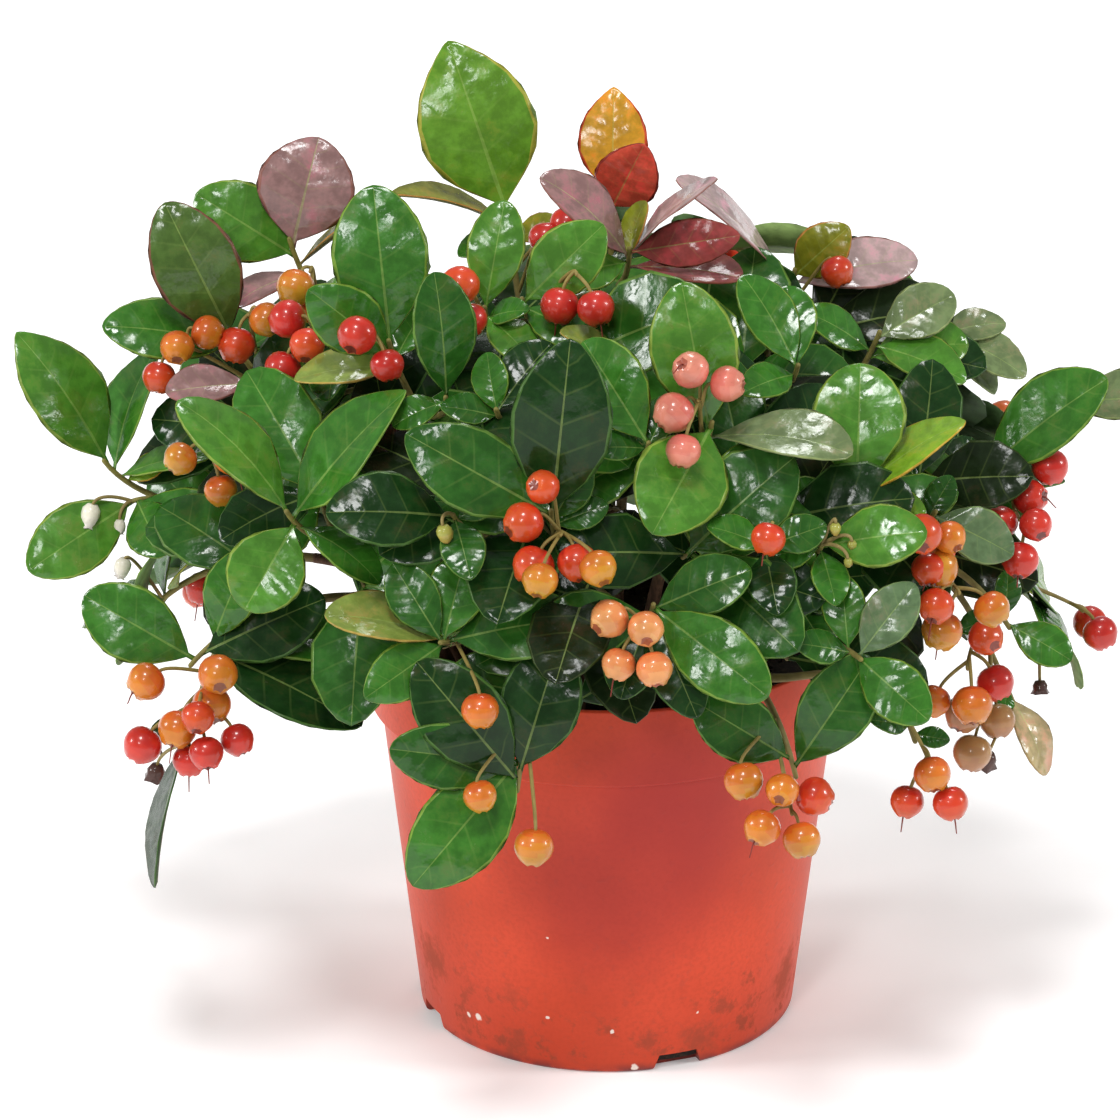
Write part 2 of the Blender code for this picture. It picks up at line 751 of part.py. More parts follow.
def pot_profile():
    """From the middle of the floor, up the inside, over the rim and down the outside to the foot."""
    step_top = POT_HEIGHT - BAND_HEIGHT
    under = RIM_RADIUS - BAND_TAPER
    body_top = body_radius(step_top)
    return (
        (0.0, FLOOR),
        (body_radius(FLOOR) - WALL, FLOOR),
        (body_top - WALL, step_top),
        (under - WALL, step_top + WALL),
        (RIM_RADIUS - WALL, POT_HEIGHT - RIM_ROUND),
        (RIM_RADIUS - WALL + RIM_ROUND, POT_HEIGHT),
        (RIM_RADIUS - RIM_ROUND, POT_HEIGHT),
        (RIM_RADIUS, POT_HEIGHT - RIM_ROUND),
        (under, step_top + RIM_ROUND),
        (under - RIM_ROUND, step_top),
        (body_top, step_top),
        (FOOT_RADIUS, 2.0 * RIM_ROUND),
        (FOOT_RADIUS - 2.0 * RIM_ROUND, 0.0),
        (0.0, 0.0),
    )


def notch_cutter(index, group):
    """A block, narrower at the top, set across the foot of the wall."""
    shape = bmesh.new()
    bmesh.ops.create_cube(shape, size=1.0)
    for vert in shape.verts:
        top = vert.co.z > 0.0
        vert.co.x *= NOTCH_TOP_WIDTH if top else NOTCH_FOOT_WIDTH
        vert.co.y *= NOTCH_DEPTH
        vert.co.z = NOTCH_HEIGHT if top else -MM
    ob = add_object(f"notch_{index + 1}", mesh_from(shape, "notch"), group)
    turn = NOTCH_TURN + math.tau * index / NOTCHES
    ob.location = Vector((math.cos(turn), math.sin(turn), 0.0)) * FOOT_RADIUS
    ob.rotation_euler.z = turn - math.pi / 2.0
    ob.hide_render = True
    ob.display_type = "WIRE"
    return ob


def add_pot(group, cutters):
    plastic = material("pot", (0.62, 0.09, 0.04), 0.45)
    pot = add_turned("pot", pot_profile(), POT_STEPS, group, plastic)
    for index in range(NOTCHES):
        notch_cutter(index, cutters)
    cut = pot.modifiers.new("Notches", "BOOLEAN")
    cut.operation = "DIFFERENCE"
    cut.operand_type = "COLLECTION"
    cut.collection = cutters
    return pot


def add_soil(group):
    """Compost that fills the pot, a gap clear of its walls and floor."""
    step_top = POT_HEIGHT - BAND_HEIGHT
    inner = RIM_RADIUS - BAND_TAPER - WALL - GAP
    foot = FLOOR + GAP
    profile = (
        (0.0, SOIL_TOP),
        (inner - SOIL_EDGE, SOIL_TOP),
        (inner, SOIL_TOP - SOIL_EDGE),
        (inner, step_top + WALL + 2.0 * GAP),
        (body_radius(step_top) - WALL - GAP, step_top),
        (body_radius(foot) - WALL - GAP, foot),
        (0.0, foot),
    )
    compost = material("soil", (0.03, 0.02, 0.014), 0.95)
    return add_turned("soil", profile, SOIL_STEPS, group, compost)


def add_limb(name, points, radii, sides, group, mat=None):
    """A tapering rod through these points, its ends closed."""
    curve = bpy.data.curves.new(name, "CURVE")
    curve.dimensions = "3D"
    curve.bevel_depth = 1.0
    curve.bevel_resolution = (sides - 4) // 2
    curve.use_fill_caps = True
    line = curve.splines.new("POLY")
    line.points.add(len(points) - 1)
    for i, point in enumerate(points):
        line.points[i].co = (*point, 1.0)
        line.points[i].radius = radii[0] + (radii[1] - radii[0]) * i / (len(points) - 1)
    ob = bpy.data.objects.new(name, curve)
    group.objects.link(ob)
    mesh = bpy.data.meshes.new_from_object(
        ob.evaluated_get(bpy.context.evaluated_depsgraph_get())
    )
    bpy.data.objects.remove(ob)
    shape = bmesh.new()
    shape.from_mesh(mesh)
    bmesh.ops.remove_doubles(shape, verts=shape.verts[:], dist=0.000001)
    bmesh.ops.triangulate(shape, faces=shape.faces[:])
    return add_object(name, mesh_from(shape, name), group, mat)


def add_leaf(name, leaf, group):
    return add_object(name, mesh_from(leaf_shape(leaf), name), group)


def add_berry(name, berry, group):
    """A ball whose upper pole is drawn out into a thin stalk, as far as the hub."""
    shape = bmesh.new()
    bmesh.ops.create_uvsphere(shape, u_segments=4, v_segments=4, radius=1.0)
    bmesh.ops.triangulate(shape, faces=shape.faces[:])
    hang = (berry.centre - berry.hub).normalized()
    turn = UP.rotation_difference(hang).to_matrix()
    for vert in shape.verts:
        level, spread = BERRY_RINGS[round(2.0 - 2.0 * vert.co.z)]
        flat = Vector((vert.co.x, vert.co.y, 0.0)).normalized() * spread
        if vert.co.z < -0.9:
            vert.co = berry.hub - hang * PEDICEL_RADIUS
        else:
            vert.co = berry.centre + turn @ (flat + UP * level) * berry.radius
    add_object(name, mesh_from(shape, name), group)


def shells(shape):
    """The separate closed shells of a mesh."""
    left = set(shape.faces)
    found = []
    while left:
        stack = [left.pop()]
        shell = list(stack)
        while stack:
            face = stack.pop()
            for edge in face.edges:
                for other in edge.link_faces:
                    if other in left:
                        left.discard(other)
                        stack.append(other)
                        shell.append(other)
        found.append(shell)
    return found


def keep_largest_shell(ob):
    """Fills hollows that the union sealed and drops loose scraps."""
    shape = bmesh.new()
    shape.from_mesh(ob.data)
    parts = sorted(shells(shape), key=len)
    scrap = {vert for part in parts[:-1] for face in part for vert in face.verts}
    bmesh.ops.delete(shape, geom=list(scrap), context="VERTS")
    bmesh.ops.dissolve_limit(
        shape, angle_limit=FLAT_ANGLE, verts=shape.verts[:], edges=shape.edges[:]
    )
    bmesh.ops.triangulate(shape, faces=shape.faces[:])
    shape.to_mesh(ob.data)
    shape.free()
    return len(parts) - 1


def add_mass(name, mass, leaves, fruits, group, mat):
    """One mass: its stems with leaves and fruit fused on."""
    pieces = collection(name + "_pieces")
    stem = add_limb(name, mass.stems[0][1], STEM_RADII, 4, group, mat)
    for i, (_, points) in enumerate(mass.stems[1:]):
        add_limb(f"{name}_stem_{i}", points, STEM_RADII, 4, pieces)
    for i, leaf in enumerate(leaves):
        add_leaf(f"{name}_leaf_{i}", leaf, pieces)
    for i, (stalks, berries) in enumerate(fruits):
        for j, stalk in enumerate(stalks):
            radii = (STALK_RADIUS * 1.1, STALK_RADIUS)
            add_limb(f"{name}_stalk_{i}_{j}", stalk, radii, 4, pieces)
        for j, berry in enumerate(berries):
            add_berry(f"{name}_berry_{i}_{j}", berry, pieces)
    join = stem.modifiers.new("Join", "BOOLEAN")
    join.operation = "UNION"
    join.operand_type = "COLLECTION"
    join.collection = pieces
    join.solver = "EXACT"
    applied(stem)
    for ob in list(pieces.objects):
        bpy.data.objects.remove(ob)
    bpy.data.collections.remove(pieces)
    keep_largest_shell(stem)
    return stem


def main():
    clear_scene()
    group = collection("potted_wintergreen")
    cutters = collection("cutters")
    add_pot(group, cutters)
    add_soil(group)
    bark = material("stems", (0.13, 0.07, 0.04), 0.7)
    foliage = material("foliage", (0.05, 0.16, 0.03), 0.35)
    for name, (mass, leaves, fruits) in grow_crown().items():
        add_limb("bough_" + name, mass.bough, BOUGH_RADII, 4, group, bark)
        add_mass("mass_" + name, mass, leaves, fruits, group, foliage)


if __name__ == "__main__":
    main()
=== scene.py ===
"""Potted wintergreen: its leaves, berries, stems, pot and stage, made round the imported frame."""

import functools
import json
import math
import random
from collections import namedtuple

import bmesh
import bpy
from bpy.props import FloatProperty, FloatVectorProperty, IntProperty, PointerProperty
from mathutils import Matrix, Vector
from mathutils.bvhtree import BVHTree
from mathutils.kdtree import KDTree

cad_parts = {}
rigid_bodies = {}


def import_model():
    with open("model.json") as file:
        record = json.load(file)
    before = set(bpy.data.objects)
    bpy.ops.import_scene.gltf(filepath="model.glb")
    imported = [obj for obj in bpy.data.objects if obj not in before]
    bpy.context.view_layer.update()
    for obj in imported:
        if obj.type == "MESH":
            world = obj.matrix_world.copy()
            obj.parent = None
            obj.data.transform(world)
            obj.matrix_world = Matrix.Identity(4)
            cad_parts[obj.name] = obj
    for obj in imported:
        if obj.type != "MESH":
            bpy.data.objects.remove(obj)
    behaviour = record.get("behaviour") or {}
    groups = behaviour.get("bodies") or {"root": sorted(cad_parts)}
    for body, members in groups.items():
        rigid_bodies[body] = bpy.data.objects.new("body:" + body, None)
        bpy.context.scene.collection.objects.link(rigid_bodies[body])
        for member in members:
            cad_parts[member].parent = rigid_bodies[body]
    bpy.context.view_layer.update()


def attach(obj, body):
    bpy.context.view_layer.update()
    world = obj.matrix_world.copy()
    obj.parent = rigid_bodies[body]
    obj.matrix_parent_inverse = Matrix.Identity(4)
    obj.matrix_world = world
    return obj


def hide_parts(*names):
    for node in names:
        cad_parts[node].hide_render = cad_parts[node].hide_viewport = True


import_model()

bl_info = {
    "name": "Potted wintergreen",
    "version": (1, 0, 0),
    "blender": (4, 5, 0),
    "location": "3D View > Sidebar > Wintergreen",
    "description": "Dresses the packed plant with leaves, berries, stems, pot and stage",
    "category": "Object",
}

MM = 0.001
UP = Vector((0.0, 0.0, 1.0))
GAP = 0.3 * MM

# Pot
RIM_RADIUS = 60.0 * MM
FOOT_RADIUS = 47.0 * MM
POT_HEIGHT = 103.0 * MM
BAND_HEIGHT = 20.5 * MM
BAND_STEP = 2.6 * MM
BAND_TAPER = 0.8 * MM
WALL = 1.3 * MM
FLOOR = 1.8 * MM
RIM_ROUND = 0.45 * MM
NOTCHES = 4
NOTCH_TURN = math.radians(-90.0 + 21.6)
NOTCH_FOOT_WIDTH = 13.5 * MM
NOTCH_TOP_WIDTH = 10.0 * MM
NOTCH_HEIGHT = 4.3 * MM
NOTCH_DEPTH = 8.0 * MM
CORNER_ROUND = 0.9 * MM
SHARP_ANGLE = math.radians(40.0)

# Compost
SOIL_TOP = 91.0 * MM
SOIL_EDGE = 1.5 * MM
BED_RINGS = (0.0, 0.1, 0.2, 0.3, 0.4, 0.5, 0.6, 0.7, 0.8, 0.88, 0.94)
BED_STEPS = 72
BED_DIPS = 1.3
CRUMB_DENSITY = 26000.0
CRUMB_SEED = 4

# Crown
EYE_RISE = math.radians(22.0)
DOME_CENTRE = Vector((-5.0, 0.0, 105.0)) * MM
DOME_RADII = Vector((112.0, 95.0, 95.0)) * MM
DOME_SQUEEZE = Vector((1.0 / DOME_RADII.x, 1.0 / DOME_RADII.y, 1.0 / DOME_RADII.z))

# Boughs and stems
FOOT_RING = 0.34
FOOT_REACH = 40.0 * MM
FOOT_LIFT = 0.5 * MM
BOUGH_SHARE = 0.5
BOUGH_RADII = (1.9 * MM, 1.3 * MM)
STEM_RADII = (1.2 * MM, 0.85 * MM)
LIMB_STEPS = 4
LIMB_CLEAR = 0.8 * MM
LIMB_TRIES = 160
LOOSE_AFTER = 60
FOOT_SWING = 0.9
FOOT_DRIFT = 7.0 * MM
FOOT_LEAN = 0.12
BOUGH_DRIFT = 9.0 * MM
STEM_DRIFT = 5.0 * MM
FORK_SHARES = (0.12, 0.14)
RISES = (16.0 * MM, 46.0 * MM)
RISE_SHARE = 0.42
BEND_OUT = 0.26
BEND_ALONG = 0.34
BEND_UNDER = 0.72
BEND_FADE = 20.0 * MM
LOW_BEND_HEIGHT = 138.0 * MM
BEAD_PITCH = 1.5 * MM
LARGEST_BEAD = 5.2 * MM

# Leaves
LEAF_THICKNESS = 0.8 * MM
LEAF_LONGEST = 47.0 * MM
LEAF_BREADTHS = (0.56, 0.66)
LEAF_BENDS = (16.0, 44.0)
LEAF_FOLDS = (0.05, 0.24)
LEAF_CUPS = (2.0, 20.0)
LEAF_TILTS = (-14.0, 14.0)
LEAF_WAVES = (0.003, 0.016)
LEAF_TWISTS = (-0.3, 0.3)
LEAF_POINTS = (-0.1, 0.2)
SHARP_POINT = 0.5
INNER_POINT = 0.1
LEAF_STATIONS = (0.0, 0.07, 0.40, 0.77, 1.0)
LEAF_WIDTHS = (0.0, 0.1, 0.97, 0.82, 0.0)
LEAF_DEPTHS = (0.0, 1.15, 1.0, 0.7, 0.0)
LEAF_ROOM = 0.4 * MM
LEAF_SIGHT = 8.0 * MM
POT_ROOM = (1.2 * MM, 1.5 * MM)
BLADE_START = 0.34
LEAF_SETBACK = 0.022
LEAF_TURNS = (0.35, 0.55, 0.75, 0.9)
LEAST_FACING = 0.42

# Berries
BERRY_RADIUS = 4.7 * MM
BERRY_SIZES = (0.86, 1.08)
BERRY_GAP = 1.5 * GAP
FRUIT_FORWARD = 6.0
HEAP_ROUNDS = 70
HEAP_PUSH = 0.52
STALK_RADIUS = 0.7 * MM
STALK_ROOM = 1.4 * MM
STALK_START = 0.84
STALK_PITCH = 0.06
ROOT_PITCH = 1.5 * MM
PEDICEL_RADIUS = 0.5 * MM

# Finer growth: side twigs with older leaves fill the crown behind the outer sprays.
INNER_TWIGS = 4
INNER_LEAVES = 4
INNER_START = 0.42
INNER_END = 0.93
INNER_DEPTH = 0.90
INNER_LENGTHS = (24.0, 36.0)
INNER_SETBACK = 0.06
INNER_CUP = 12.0
INNER_TRIES = 9
INNER_REACH = (9.0 * MM, 24.0 * MM)
INNER_FLOOR = 110.0 * MM
LEAF_FLOOR = 103.0 * MM


Spray = namedtuple("Spray", "across up leaves fruit forward", defaults=((), 0.0))
Leaf = namedtuple("Leaf", "base along face length width bend fold")
Berry = namedtuple("Berry", "centre radius hub cluster")
Mass = namedtuple("Mass", "turn stems sprays leaves fruits")

# Each spray of the near side: where it sits across and up, in millimetres, as seen from a little above.
# A leaf has a heading in degrees from the right and a seen length, and perhaps a roll off facing us,
# a width over its length and the lift of its tip; fruit has an offset and a count.
NEAR_CROWN = {
    "far_left": (
        Spray(-125, 134, ((124, 40, 40, 0.56), (72, 32, 50), (12, 23, 55), (30, 12))),
        Spray(-118, 124, ((214, 31, 0, 0.56), (345, 27, 0, 0.5), (300, 16))),
    ),
    "front_low": (
        Spray(
            -22, 55,
            ((130, 37, 0, 0.54), (73, 32, 0, 0.6), (173, 31, 0, 0.5), (230, 40, 0, 0.52)),
            ((6, -9, 1), (-13, 2, 1)),
        ),
    ),
    "front_right": (
        Spray(44, 58, ((63, 32, 0, 0.54), (149, 27, 0, 0.58)), ((-16, 2, 1), (-1, -10, 4))),
        Spray(73, 66, ((350, 9), (170, 10)), ((3, -10, 3),)),
    ),
    "middle_right": (
        Spray(
            24, 142,
            ((241, 29, 0, 0.7, 18), (101, 36, 0, 0.58), (353, 34, 60, 0.57), (281, 30, 0, 0.62, -14)),
            ((-3, 4, 4),),
        ),
        Spray(37, 113, ((20, 15), (160, 15), (280, 16)), ((4, 3, 1),)),
    ),
    "centre": (
        Spray(-14, 121, ((151, 39, 0, 0.5), (84, 42, 0, 0.54), (60, 17), (20, 14)), ((3, -6, 6),)),
        Spray(-37, 120, ((178, 30), (285, 15), (30, 12))),
    ),
    "left": (
        Spray(
            -77, 121,
            ((134, 38, 48, 0.56), (48, 41, 45, 0.56), (240, 24, 0, 0.8), (325, 24, 50)),
        ),
    ),
    "low_left": (
        Spray(
            -101, 84,
            ((150, 31, 0, 0.6), (24, 33, 20), (334, 42, 40, 0.54), (66, 25), (355, 37, 45, 0.5)),
            ((0, -13, 9),),
        ),
        Spray(-104, 64, ((258, 38, 72, 0.5), (190, 10)), (), -9),
    ),
    "low_middle_left": (
        Spray(
            -40, 90,
            ((122, 22), (76, 22), (215, 23, 0, 0.55), (10, 32, 20, 0.56), (168, 30, 55)),
            ((9, -11, 1),),
        ),
    ),
    "low_middle": (
        Spray(
            10, 99,
            ((322, 34, 0, 0.5), (22, 25), (293, 27, 0, 0.5), (192, 29), (250, 21)),
            ((-3, -6, 4),),
        ),
    ),
    "right": (
        Spray(59, 126, ((88, 34, 0, 0.72), (35, 32, 55, 0.55), (350, 18), (175, 18))),
        Spray(50, 113, ((8, 25), (190, 15), (285, 14))),
    ),
    "far_right": (
        Spray(
            91, 131,
            ((38, 38, 42, 0.56), (322, 15, 45), (348, 25, 60, 0.56), (150, 15)),
            ((11, -14, 4), (13, 4, 1)),
        ),
        Spray(114, 149, ((2, 27, 40), (205, 15))),
    ),
    "upper_left": (
        Spray(
            -94, 166,
            ((116, 37, 0, 0.56), (172, 33, 35, 0.52), (25, 20, 50)),
            ((5, -1, 2), (-14, -8, 3)),
        ),
        Spray(-87, 153, ((186, 21, 45), (10, 18), (330, 17)), ((-10, -24, 3),)),
    ),
    "top_left": (
        Spray(
            -79, 189,
            ((76, 28, 0, 0.86), (148, 29, 0, 0.68), (31, 27, 78), (206, 20, 58)),
            ((6, -12, 2),),
        ),
    ),
    "middle": (
        Spray(5, 158, ((88, 20), (141, 20, 55), (52, 25), (12, 17), (225, 13)), (), -6),
        Spray(9, 137, ((122, 29), (65, 15), (180, 14))),
        Spray(-27, 145, ((52, 21), (100, 15), (170, 14))),
    ),
    "crest_left": (
        Spray(-53, 162, ((96, 39, 0, 0.6), (143, 25, 0, 0.6), (60, 16), (187, 25, 50)), ((-5, -2, 2),)),
        Spray(-39, 148, ((95, 30, 20, 0.52), (205, 14), (330, 15))),
    ),
    "crest": (
        Spray(
            -25, 197,
            ((109, 45.5, 0, 0.62, 6), (166, 30, 74), (205, 14), (20, 14)),
            ((17, -2, 1), (8, -4, 1)),
        ),
        Spray(-30, 170, ((80, 27, 0, 0.52), (315, 17), (10, 12)), ((-5, 1, 2),)),
    ),
    "red_crest": (
        Spray(1, 201, ((89, 28, 0, 0.6, 0), (62, 17, 0, 0.68, 44))),
        Spray(
            5, 185,
            (
                (8, 27, 0, 0.42), (29, 30, 76), (138, 29, 50), (195, 18), (75, 16, 60),
                (354, 28, 66),
            ),
        ),
        Spray(-21, 172, ((44, 27, 0, 0.6), (330, 18)), ((13, 2, 2),)),
    ),
    "upper_right": (
        Spray(
            46, 181,
            ((42, 18, 0, 0.66, 24), (11, 32, 30, 0.46, -6), (136, 39, 78), (175, 14, 0, 0.6), (112, 11)),
            ((7, -3, 1),),
        ),
        Spray(45, 156, ((120, 26), (95, 21), (200, 14))),
    ),
    "shoulder_right": (
        Spray(66, 165, ((30, 22), (338, 24), (150, 20), (8, 25))),
        Spray(82, 166, ((334, 24), (12, 18), (318, 20, 50))),
    ),
    "hanging_right": (
        Spray(78, 121, ((320, 24, 20), (195, 16), (60, 13)), ((-3, -6, 4), (6, -20, 4))),
        Spray(97, 93, ((330, 18), (85, 12), (200, 11)), ((-11, -10, 4),)),
        Spray(99, 74, ((294, 21, 40), (250, 10)), ((-6, -4, 3),)),
    ),
    "low_right": (
        Spray(59, 86, ((52, 22), (318, 23, 0, 0.6), (170, 14), (95, 18)), (), 8),
        Spray(45, 98, ((80, 14), (200, 14), (300, 14), (20, 13)), (), -12),
    ),
}

# The far side carries on by rule: sectors round the pot, three sprays high.
FAR_SECTORS = 9
FAR_START = math.radians(62.0)
FAR_END = math.radians(298.0)
FAR_TIERS = (56.0, 103.0, 150.0, 184.0)
FAR_LEAVES = 6
FAR_LENGTHS = (26.0, 35.0)
FAR_SWAY = 9.0
FAR_SHRINK = 0.07
FAR_FRUIT_CHANCE = 0.5
FAR_FRUIT = ((-9.0, 9.0), (-15.0, -8.0), (2, 4))
SPRAY_PITCH = 22.0 * MM
GOLDEN_TURN = 137.5


def seeded(*words):
    """A random stream of its own for each named thing, the same in every run."""
    return random.Random(" ".join(str(word) for word in words))


def sheet(turn):
    """Right, up and outwards for someone who looks at the plant from this side, a little above."""
    side = Matrix.Rotation(turn, 3, "Z")
    right = side @ Vector((1.0, 0.0, 0.0))
    lift = side @ Vector((0.0, math.sin(EYE_RISE), math.cos(EYE_RISE)))
    out = side @ Vector((0.0, -math.cos(EYE_RISE), math.sin(EYE_RISE)))
    return right, lift, out


def squeezed(vector):
    """The vector in the space where the dome is a unit sphere."""
    return Vector(a * b for a, b in zip(vector, DOME_SQUEEZE))


def on_dome(flat, out, forward):
    """Where the line through a point of the sheet meets the near side of the dome."""
    start = squeezed(flat - DOME_CENTRE)
    ray = squeezed(out)
    middle = -start.dot(ray) / ray.dot(ray)
    reach = middle * middle - (start.dot(start) - 1.0) / ray.dot(ray)
    return flat + out * (middle + math.sqrt(max(0.0, reach)) + forward)


def spray_place(spray, turn):
    right, lift, out = sheet(turn)
    flat = right * spray.across * MM + lift * spray.up * MM
    return on_dome(flat, out, spray.forward * MM)


def spray_axis(place, turn):
    """The way a spray faces: off the dome, upwards and a little towards its own side."""
    out = sheet(turn)[2]
    off = squeezed(squeezed(place - DOME_CENTRE)).normalized()
    return (off * 0.55 + out * 0.4 + UP * 0.5).normalized()


def far_spray(name, tier):
    """One spray of the far side, leaves wound round it by the golden turn."""
    chance = seeded(name, "layout")
    across = chance.uniform(-FAR_SWAY, FAR_SWAY)
    up = FAR_TIERS[tier] + chance.uniform(-FAR_SWAY, FAR_SWAY)
    start = chance.uniform(0.0, 360.0)
    leaves = tuple(
        ((start + GOLDEN_TURN * i) % 360.0, chance.uniform(*FAR_LENGTHS) * (1.0 - FAR_SHRINK * i))
        for i in range(FAR_LEAVES)
    )
    fruit = ()
    if chance.random() < FAR_FRUIT_CHANCE:
        aside, above, count = FAR_FRUIT
        fruit = ((chance.uniform(*aside), chance.uniform(*above), chance.randint(*count)),)
    return Spray(across, up, leaves, fruit)


def crown_layout():
    """Every mass by name, each with the turn of its side and its sprays."""
    layout = {name: (0.0, sprays) for name, sprays in NEAR_CROWN.items()}
    taken = [spray_place(spray, 0.0) for sprays in NEAR_CROWN.values() for spray in sprays]
    for sector in range(FAR_SECTORS):
        turn = FAR_START + (FAR_END - FAR_START) * sector / (FAR_SECTORS - 1)
        kept = []
        for tier in range(len(FAR_TIERS)):
            spray = far_spray(f"far_{sector}_{tier}", tier)
            place = spray_place(spray, turn)
            if all((place - other).length > SPRAY_PITCH for other in taken):
                taken.append(place)
                kept.append(spray)
        if kept:
            layout[f"far_side_{sector + 1}"] = (turn, tuple(kept))
    return layout


def bezier(points, share):
    """A point on the cubic curve through these four."""
    a, b, c, d = points
    rest = 1.0 - share
    return (
        a * rest ** 3
        + b * 3.0 * rest * rest * share
        + c * 3.0 * rest * share * share
        + d * share ** 3
    )


def run_of(curve, steps, start=0.0, end=1.0):
    """Points along the curve, evenly spaced in its share."""
    return [bezier(curve, start + (end - start) * i / steps) for i in range(steps + 1)]


def beads_of(points, radii):
    """The limb as a string of balls, for keeping other things clear of it."""
    beads = []
    for i, (a, b) in enumerate(zip(points, points[1:])):
        count = max(1, math.ceil((b - a).length / BEAD_PITCH))
        for j in range(count + 1):
            share = (i + j / count) / (len(points) - 1)
            beads.append((a.lerp(b, j / count), radii[0] + (radii[1] - radii[0]) * share))
    return beads


class Room:
    """What has been placed so far, with the gap that each newcomer has to keep."""

    def __init__(self):
        self.beads = []
        self.blades = []
        self.tree = None

    def add_beads(self, beads, owner, fruit=False):
        self.beads += [(place, radius, owner, fruit) for place, radius in beads]
        self.tree = KDTree(len(self.beads))
        for i, bead in enumerate(self.beads):
            self.tree.insert(bead[0], i)
        self.tree.balance()

    def limb_clear(self, beads, owner):
        for place, radius in beads:
            if rim_hit(place, radius + LIMB_CLEAR):
                return False
            reach = radius + LARGEST_BEAD + LIMB_CLEAR
            for _, index, distance in self.tree.find_range(place, reach) if self.tree else ():
                _, other_radius, other_owner, _ = self.beads[index]
                if other_owner != owner and distance < radius + other_radius + LIMB_CLEAR:
                    return False
        return True

    def leaf_clear(self, leaf, owner):
        whole = leaf_tree(leaf, LEAF_ROOM)
        blade = leaf_tree(leaf, 0.0, BLADE_START)
        middle = leaf.base + leaf.along * leaf.length * 0.5
        reach = leaf.length * 0.5 + LEAF_SIGHT
        if pot_hit(leaf):
            return False
        for _, index, _ in self.tree.find_range(middle, reach):
            place, radius, other, fruit = self.beads[index]
            if other == owner and not fruit:
                continue
            near = (blade if other == owner else whole).find_nearest(place, radius + LEAF_ROOM)
            if near[0] is not None:
                return False
        for other_middle, other_reach, other_whole, other_blade, other in self.blades:
            if (middle - other_middle).length > reach + other_reach:
                continue
            if blade.overlap(other_blade) if other == owner else whole.overlap(other_whole):
                return False
        return True

    def add_leaf(self, leaf, owner):
        middle = leaf.base + leaf.along * leaf.length * 0.5
        trees = leaf_tree(leaf, 0.0), leaf_tree(leaf, 0.0, BLADE_START)
        self.blades.append((middle, leaf.length * 0.5 + MM, *trees, owner))


def body_radius(height):
    """The pot's outer radius at a height, without the band."""
    top = RIM_RADIUS - BAND_STEP
    share = height / (POT_HEIGHT - BAND_HEIGHT)
    return FOOT_RADIUS + (top - BAND_TAPER - FOOT_RADIUS) * min(1.0, max(0.0, share))


def rim_hit(place, radius):
    """True where a ball would touch the pot's wall or pass through it."""
    out = math.hypot(place.x, place.y)
    inside = RIM_RADIUS - BAND_STEP - 2.0 * WALL
    return place.z < POT_HEIGHT + radius and inside - radius < out < RIM_RADIUS + radius


def pot_hit(leaf):
    """True where a leaf would touch the pot or the compost."""
    for i in range(2, 9):
        for side in (-1.0, 0.0, 1.0):
            spot = leaf_point(leaf, i / 8.0, side * 0.9)
            out = math.hypot(spot.x, spot.y)
            if spot.z < POT_HEIGHT + POT_ROOM[1] and out < RIM_RADIUS + POT_ROOM[0]:
                return True
    return False


def leaf_arc(leaf, share):
    """The midrib's place and the leaf's upward direction there, along an arc whose chord is the leaf."""
    half = leaf.bend / 2.0
    turn = half - leaf.bend * share
    along = (math.sin(half) - math.sin(turn)) / (2.0 * math.sin(half))
    rise = (math.cos(turn) - math.cos(half)) / (2.0 * math.sin(half))
    place = leaf.base + (leaf.along * along + leaf.face * rise) * leaf.length
    return place, leaf.face * math.cos(turn) - leaf.along * math.sin(turn)


def leaf_half_width(leaf, share):
    """Half the leaf's width at a share of its length, read off the stations."""
    for i in range(4):
        if share <= LEAF_STATIONS[i + 1]:
            break
    part = (share - LEAF_STATIONS[i]) / (LEAF_STATIONS[i + 1] - LEAF_STATIONS[i])
    return leaf.width * 0.5 * (LEAF_WIDTHS[i] + (LEAF_WIDTHS[i + 1] - LEAF_WIDTHS[i]) * part)


def leaf_point(leaf, share, side):
    """A point of the blade, side -1 at one edge and 1 at the other."""
    place, face = leaf_arc(leaf, share)
    across = leaf.face.cross(leaf.along)
    half = leaf_half_width(leaf, share)
    return place + across * half * side + face * half * abs(side) * leaf.fold


def leaf_shape(leaf, room=0.0, start=0.0):
    """A ball of three sides and three rings, pressed into the leaf's two edges and its keel."""
    shape = bmesh.new()
    bmesh.ops.create_uvsphere(shape, u_segments=3, v_segments=4, radius=1.0)
    bmesh.ops.triangulate(shape, faces=shape.faces[:])
    across = leaf.face.cross(leaf.along)
    for vert in shape.verts:
        ring = round(2.0 + 2.0 * vert.co.z)
        share = max(start, LEAF_STATIONS[ring])
        place, face = leaf_arc(leaf, share)
        spread = math.hypot(vert.co.x, vert.co.y)
        half = LEAF_WIDTHS[ring] * leaf.width * 0.5 + room
        depth = LEAF_DEPTHS[ring] * LEAF_THICKNESS
        keel = vert.co.x > 0.1
        side = 0.0 if keel or spread < 0.1 else math.copysign(1.0, vert.co.y)
        height = -depth - room if keel else half * abs(side) * leaf.fold + room
        vert.co = place + across * half * side + face * height
        if room and ring == 4:
            vert.co += leaf.along * room
    return shape


def leaf_tree(leaf, room, start=0.0):
    shape = leaf_shape(leaf, room, start)
    tree = BVHTree.FromBMesh(shape)
    shape.free()
    return tree


